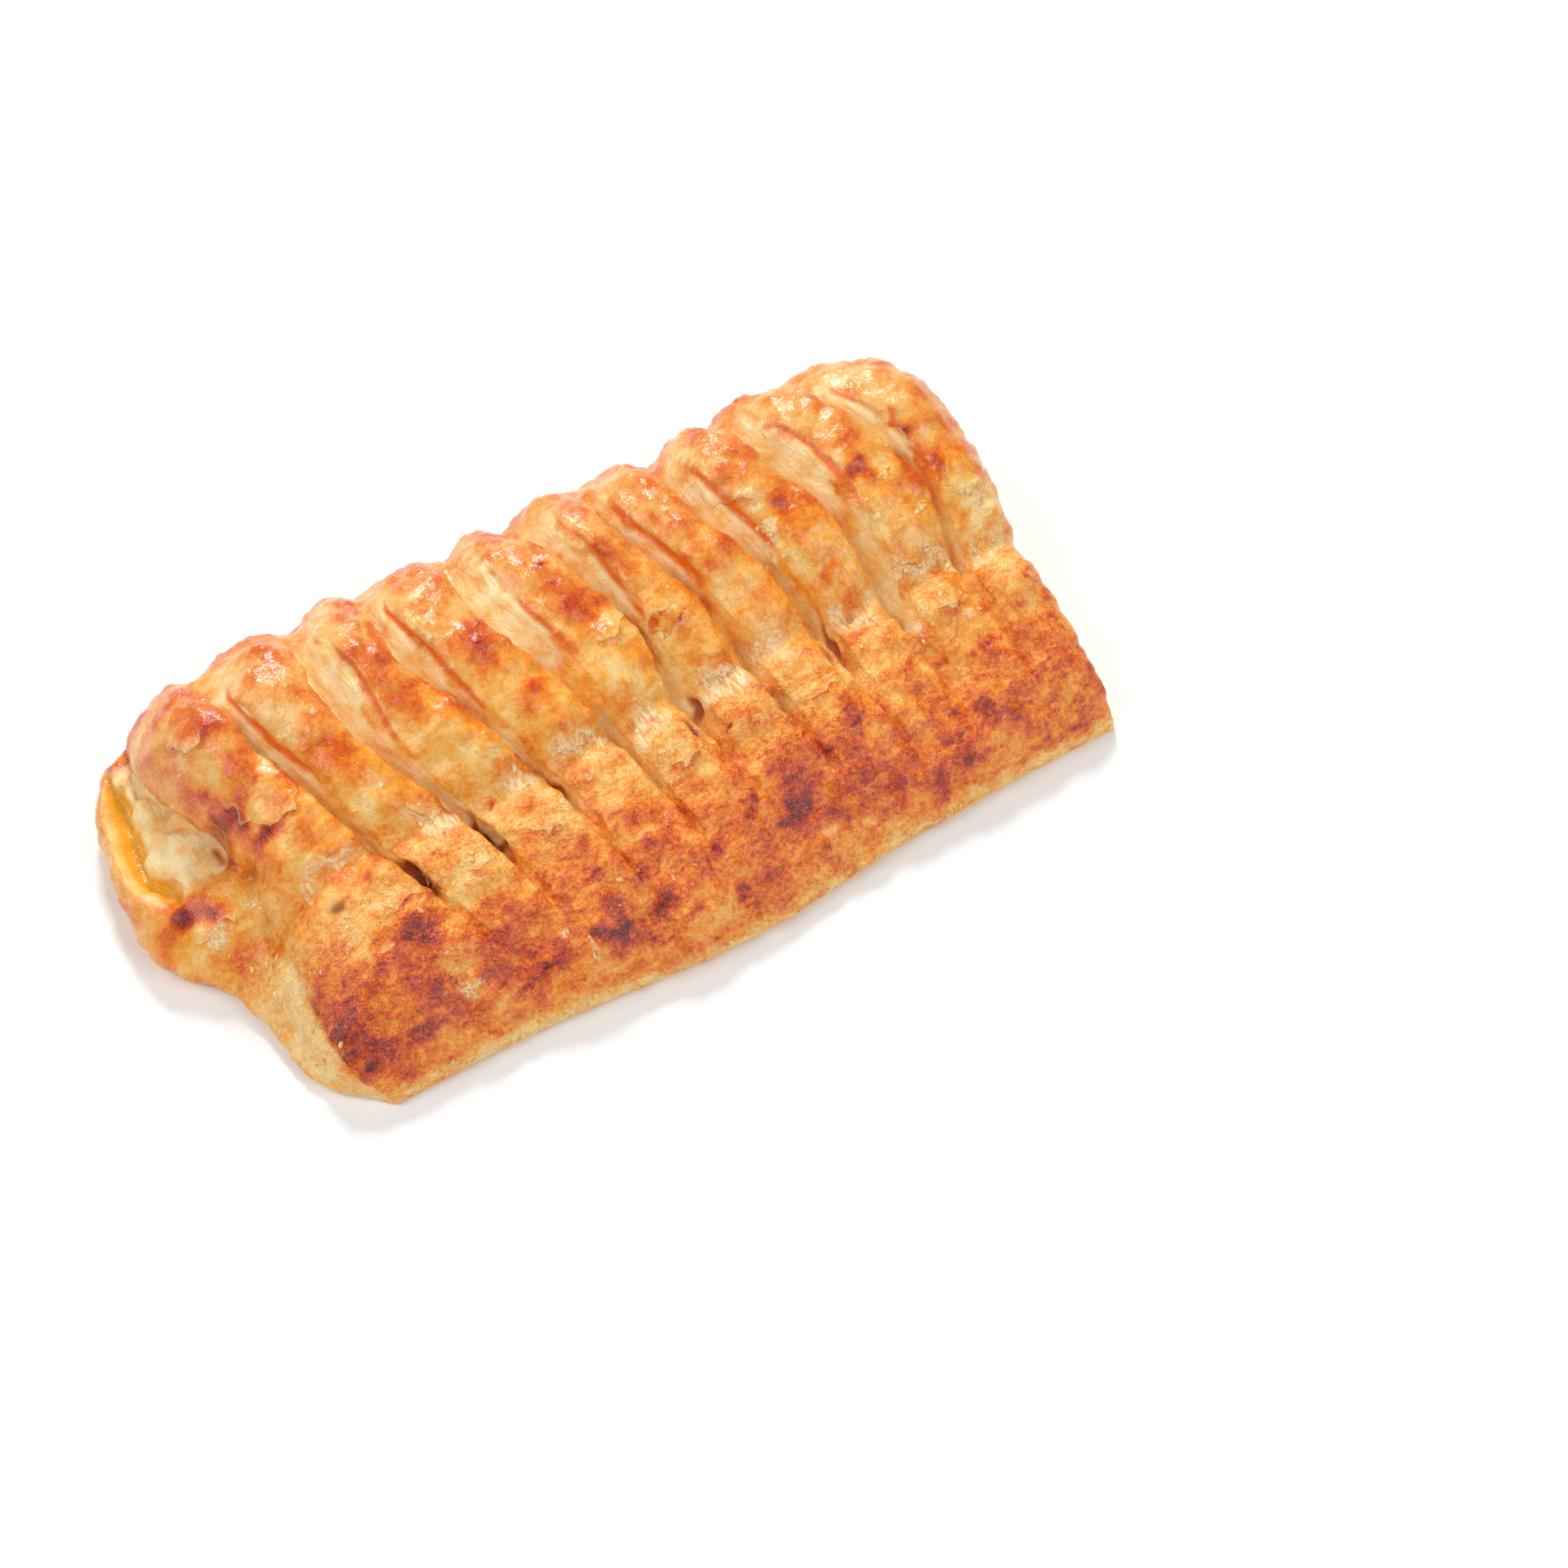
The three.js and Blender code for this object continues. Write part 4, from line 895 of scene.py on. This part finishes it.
def baked_dough(tree):
    """Egg-washed crust over pale layers. The skin runs from cream over gold to red-brown as it is
    baked, and where it is torn or cut the matt, streaky inside of the dough shows."""
    def mark(name):
        return add_node(tree, "Attribute", dict(attribute_name=name), output=2)

    def blend(share, first, second):
        return add_node(tree, "Mix", dict(data_type="RGBA"), Factor=share, A=first, B=second)

    def stretched(vector, scale):
        return add_node(tree, "Mapping", Vector=vector, Scale=scale)

    def noise(vector, size, detail=3, rough=0.6):
        """Noise whose lumps are about size millimetres across."""
        scale = 1 / (size * MM)
        return add_node(tree, "TexNoise", Vector=vector, Scale=scale, Detail=detail, Roughness=rough)

    bake, torn, cut, flaky = map(mark, ("bake", "torn", "cut", "flaky"))
    # Of these marks, hollow carries painted shade and the deep orange one carries painted glow and shade
    butter, amber, hollow = map(mark, ("butter", "amber", "hollow"))
    from_edge, standing = map(mark, ("from_edge", "standing"))

    place = add_node(tree, "TexCoord", output=3)
    layer_place = add_node(tree, "UVMap", dict(uv_map="layers"))
    across = add_node(tree, "SeparateXYZ", output=1, Vector=place)
    patches = noise(place, size=7, detail=2, rough=0.5).stepped(0.36, 0.66) - 0.48
    mottle = noise(place, size=3.2, detail=4, rough=0.55)
    pores = noise(place, size=0.9)
    speckle = noise(place, size=0.4, detail=2)
    fibres = noise(stretched(place, (1, 0.22, 1)), size=0.6, rough=0.65)
    layers = noise(stretched(layer_place, (0.14, 1, 1)), size=0.5)
    flakes = noise(stretched(place, (0.5, 1, 1)), size=2, detail=5)

    # Thin plates of broken skin, their pale rims, and loose flecks where it is flaky
    plates = flakes.stepped(0.43, 0.44) + flakes.stepped(0.5, 0.51) + flakes.stepped(0.57, 0.58)
    rims = flakes.stepped(0.495, 0.505) - flakes.stepped(0.51, 0.55)
    rims = rims + flakes.stepped(0.565, 0.575) - flakes.stepped(0.58, 0.62)
    fleck = (flakes + flaky * 0.2).stepped(0.66, 0.68) * flaky.stepped(0.02, 0.1)
    seam = 1 - across.stepped(-14 * MM, 2 * MM)
    on_flake = from_edge.stepped(0.0, 0.08)
    flake_rim = on_flake * (1 - from_edge.stepped(0.3, 0.7)) * standing
    # Painted shadow on the skin just below each big flake's torn edge
    under = (1 - on_flake) * from_edge.stepped(-1.4, -0.2) * standing

    # The bake, darkened by the painted flake shadow and paler at flecks and rims. Then each kind of
    # grain, how much it changes the bake, and how much more on the seam
    browned = bake + under * 0.2 - fleck * 0.2 - rims * flaky * 0.2
    for grain, everywhere, on_seam in (
        (patches, 0.2, -0.06),
        (mottle - 0.5, 0.42, 0.14),
        (pores.stepped(0.36, 0.64) - 0.5, 0.1, 0.06),
        ((speckle.stepped(0.36, 0.64) - 0.5) * bake, 0.12, 0.03),
        (plates - 1.5, 0.02, 0.06),
        (rims, -0.06, -0.16),
    ):
        browned = browned + grain * (everywhere + seam * on_seam)
    browned = browned.clipped()
    golden = add_ramp(tree, browned, GOLDEN_SKIN)
    peach = add_ramp(tree, browned, PEACH_SKIN)
    crumb = add_ramp(tree, (layers * 0.35 + mottle * 0.65).stepped(0.22, 0.64), CRUMB)
    fluff = add_ramp(tree, fibres.stepped(0.34, 0.62), FLUFF)

    # The skin peels off to fluff where it is torn and to crumb where it is cut
    burst = (torn + (fibres - 0.5) * 0.8 + (pores - 0.5) * 0.6).stepped(0.0, 0.8) * torn.stepped(0.02, 0.3)
    burst = (burst + flake_rim * 0.4).clipped()
    sliced = (cut + (mottle - 0.5) * 0.8 + (fibres - 0.5) * 0.5).stepped(0.1, 0.9)
    bare = (burst + sliced).clipped()
    # Painted highlights: pale glints in the colour for tiny highlights on the glaze
    glints = speckle.stepped(0.66, 0.74) * (0.3 + seam * 0.3)
    colour = blend(across.stepped(2 * MM, 20 * MM), golden, peach)
    # Over the skin go painted glints, crumb, fluff, butter, painted orange glow and painted shade
    for share, second in (
        (glints, GLINT),
        (sliced, crumb),
        (burst, fluff),
        (butter, BUTTER),
        ((amber * (0.5 + mottle)).stepped(0.1, 0.9), PAINTED_GLOW),
        (hollow.stepped(0.02, 0.6), SHADE),
        (hollow.stepped(0.45, 1.0), DEEP_SHADE),
    ):
        colour = blend(share, colour, second)

    # The finest relief, in millimetres
    fine_height = pores * 0.15 + speckle * 0.06
    skin_height = mottle * 0.16 + fine_height + seam * fine_height + plates * 0.06 + fleck * 0.1
    bare_height = fibres * 0.25 + layers * 0.2 + pores * 0.25
    height = skin_height + bare * (bare_height - skin_height) + on_flake * standing * 0.4
    return add_node(tree, "BsdfPrincipled", **{
        "Base Color": colour,
        "Roughness": 0.18 + seam * 0.12 + bare * 0.46 - butter * 0.04,
        "Specular IOR Level": 0.64,
        "Subsurface Weight": 0.08,
        "Subsurface Radius": (1.0, 0.4, 0.14),
        "Subsurface Scale": 1.2 * MM,
        "Normal": add_node(tree, "Bump", Distance=MM, Height=height),
    })


pastry = add_object("pastry_crust", pastry_mesh())
pastry.data.materials.append(new_material("baked_dough", baked_dough))
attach(pastry, "root")
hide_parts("pastry")


# The loose flakes. Crumbs and curled scraps of the top layer, about a millimetre across, cling
# where the crust has flaked or torn. A tree of nodes scatters one bent scrap over the pastry,
# thicker where its own marks say so, turns and sizes each by a fixed seed and joins them.
FLAKE_INPUTS = {"Seed": 7, "Flakes per Square Metre": 300000.0, "Smallest": 0.2, "Largest": 0.7}
FLAKE_SIZE = 1.0
FLAKE_FLATNESS = (1, 0.66, 0.3)
FLAKE_CURL = 320
FLAKE_LUMPS = 1.4
FLAKE_CRUMPLE = 1.1
FLAKE_TILT = 0.5
LOWEST_FLAKE = 1.4
FLAKE_COLOURS = [(0, 206, 106, 42), (0.35, 240, 164, 74), (0.65, 250, 204, 128), (1, 255, 234, 184)]


def flake_tree(material):
    tree = bpy.data.node_groups.new("loose_flakes", "GeometryNodeTree")
    for in_out in ("INPUT", "OUTPUT"):
        tree.interface.new_socket("Geometry", in_out=in_out, socket_type="NodeSocketGeometry")
    for name, value in FLAKE_INPUTS.items():
        kind = "NodeSocketInt" if isinstance(value, int) else "NodeSocketFloat"
        tree.interface.new_socket(name, in_out="INPUT", socket_type=kind)
    given = {socket.name: Wire(tree, socket) for socket in tree.nodes.new("NodeGroupInput").outputs}
    seed = given["Seed"]

    # One scrap: a flattened ball, curled up along its length and crumpled by noise
    ball = add_node(tree, "GeometryNodeMeshIcoSphere", Radius=FLAKE_SIZE * MM, Subdivisions=2)
    flat = add_node(tree, "GeometryNodeTransform", Geometry=ball, Scale=FLAKE_FLATNESS)
    along = add_node(tree, "SeparateXYZ", Vector=add_node(tree, "GeometryNodeInputPosition"))
    rise = add_node(tree, "CombineXYZ", Z=along * along * FLAKE_CURL)
    curled = add_node(tree, "GeometryNodeSetPosition", Geometry=flat, Offset=rise)
    lumps = add_node(tree, "TexNoise", Scale=1 / (FLAKE_LUMPS * MM)).beside("Color")
    middle = (0.5, 0.5, 0.5)
    lumps = add_node(tree, "VectorMath", dict(operation="SUBTRACT"), Vector=lumps, Vector_001=middle)
    lumps = add_node(tree, "VectorMath", dict(operation="SCALE"), Vector=lumps, Scale=FLAKE_CRUMPLE * MM)
    scrap = add_node(tree, "GeometryNodeSetPosition", Geometry=curled, Offset=lumps)

    # Where they cling: thickest where the crust is torn, thinner where it is flaky
    flaky, torn = (
        add_node(tree, "GeometryNodeInputNamedAttribute", Name=name) for name in ("flaky", "torn")
    )
    share = (flaky * 0.35 + torn * 0.65) * along.beside("Z").above(LOWEST_FLAKE * MM)
    density = share * given["Flakes per Square Metre"]
    points = add_node(tree, "GeometryNodeDistributePointsOnFaces", Mesh=given["Geometry"],
                      Density=density, Seed=seed)
    spin = add_node(
        tree, "FunctionNodeRandomValue", dict(data_type="FLOAT_VECTOR"),
        Min=(-FLAKE_TILT, -FLAKE_TILT, 0), Max=(FLAKE_TILT, FLAKE_TILT, 2 * math.pi), Seed=seed,
    )
    turn = add_node(tree, "FunctionNodeEulerToRotation", Euler=spin)
    rotation = add_node(tree, "FunctionNodeRotateRotation", dict(rotation_space="LOCAL"),
                        Rotation=points.beside("Rotation"), **{"Rotate By": turn})
    size = add_node(tree, "FunctionNodeRandomValue", Min=given["Smallest"], Max=given["Largest"],
                    Seed=seed)
    placed = add_node(tree, "GeometryNodeInstanceOnPoints", Points=points, Instance=scrap,
                      Rotation=rotation, Scale=size)
    joined = add_node(tree, "GeometryNodeRealizeInstances", Geometry=placed)
    finished = add_node(tree, "GeometryNodeSetMaterial", Geometry=joined, Material=material)
    plug(tree, tree.nodes.new("NodeGroupOutput").inputs[0], finished)
    return tree


def baked_layers(tree):
    """Thin baked layers, from cream through gold to brown, darker down on the seam."""
    place = add_node(tree, "TexCoord", output=3)
    across = add_node(tree, "SeparateXYZ", output=1, Vector=place)
    tone = add_node(tree, "TexNoise", Vector=place, Scale=1 / (1.1 * MM))
    seam = 1 - across.stepped(-30 * MM, -16 * MM)
    colour = add_ramp(tree, (tone - 0.5) * 1.6 + 0.62 - seam * 0.26, FLAKE_COLOURS)
    return add_node(tree, "BsdfPrincipled", **{"Base Color": colour, "Roughness": 0.45})


def add_flakes():
    flakes = add_object("loose_flakes", pastry.data)
    scatter = flakes.modifiers.new("scatter", "NODES")
    scatter.node_group = flake_tree(new_material("loose_flakes", baked_layers))
    for item in scatter.node_group.interface.items_tree:
        if item.name in FLAKE_INPUTS:
            scatter[item.identifier] = FLAKE_INPUTS[item.name]
    evaluated = flakes.evaluated_get(bpy.context.evaluated_depsgraph_get())
    mesh = bpy.data.meshes.new_from_object(evaluated)
    flakes.modifiers.remove(scatter)
    mesh.name = "loose_flakes"
    mesh.shade_smooth()
    flakes.data = mesh
    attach(flakes, "root")


add_flakes()


# The table. A plain matt surface, nearly white, that the puff rests on. It is one flat square,
# wide enough to fill every view.
TABLE_HALF_WIDTH = 2500
TABLE_COLOUR = (0.95, 0.95, 0.95, 1)
TABLE_ROUGHNESS = 0.8


def plain_white(tree):
    return add_node(tree, "BsdfPrincipled", **{"Base Color": TABLE_COLOUR, "Roughness": TABLE_ROUGHNESS})


def add_table():
    half = TABLE_HALF_WIDTH * MM
    corners = [(-half, -half, 0), (half, -half, 0), (half, half, 0), (-half, half, 0)]
    mesh = bpy.data.meshes.new("table")
    mesh.from_pydata(corners, [], [(0, 1, 2, 3)])
    mesh.materials.append(new_material("white_table", plain_white))
    add_object("table", mesh)


add_table()


# The light. A small bright box behind and right of the puff makes the sheen on the egg wash. Two
# big soft ones, left and in front, light the rest, in even white surroundings.
LIGHTS = [
    dict(name="back_box", place=(250, 620, 640), size=180, watts=5.4),
    dict(name="left_box", place=(-620, 160, 720), size=700, watts=4.2),
    dict(name="front_box", place=(430, -780, 700), size=800, watts=5.2),
]
SURROUNDINGS = 0.28


def add_lights():
    for box in LIGHTS:
        data = bpy.data.lights.new(box["name"], "AREA")
        data.size = box["size"] * MM
        data.energy = box["watts"]
        light = add_object(box["name"], data)
        light.location = Vector(box["place"]) * MM
        light.rotation_euler = light.location.to_track_quat("Z", "Y").to_euler()
    world = bpy.data.worlds.new("surroundings")
    world.use_nodes = True
    background = world.node_tree.nodes["Background"]
    background.inputs["Color"].default_value = (1, 1, 1, 1)
    background.inputs["Strength"].default_value = SURROUNDINGS
    bpy.context.scene.world = world
    bpy.context.scene.view_settings.view_transform = "Standard"


add_lights()
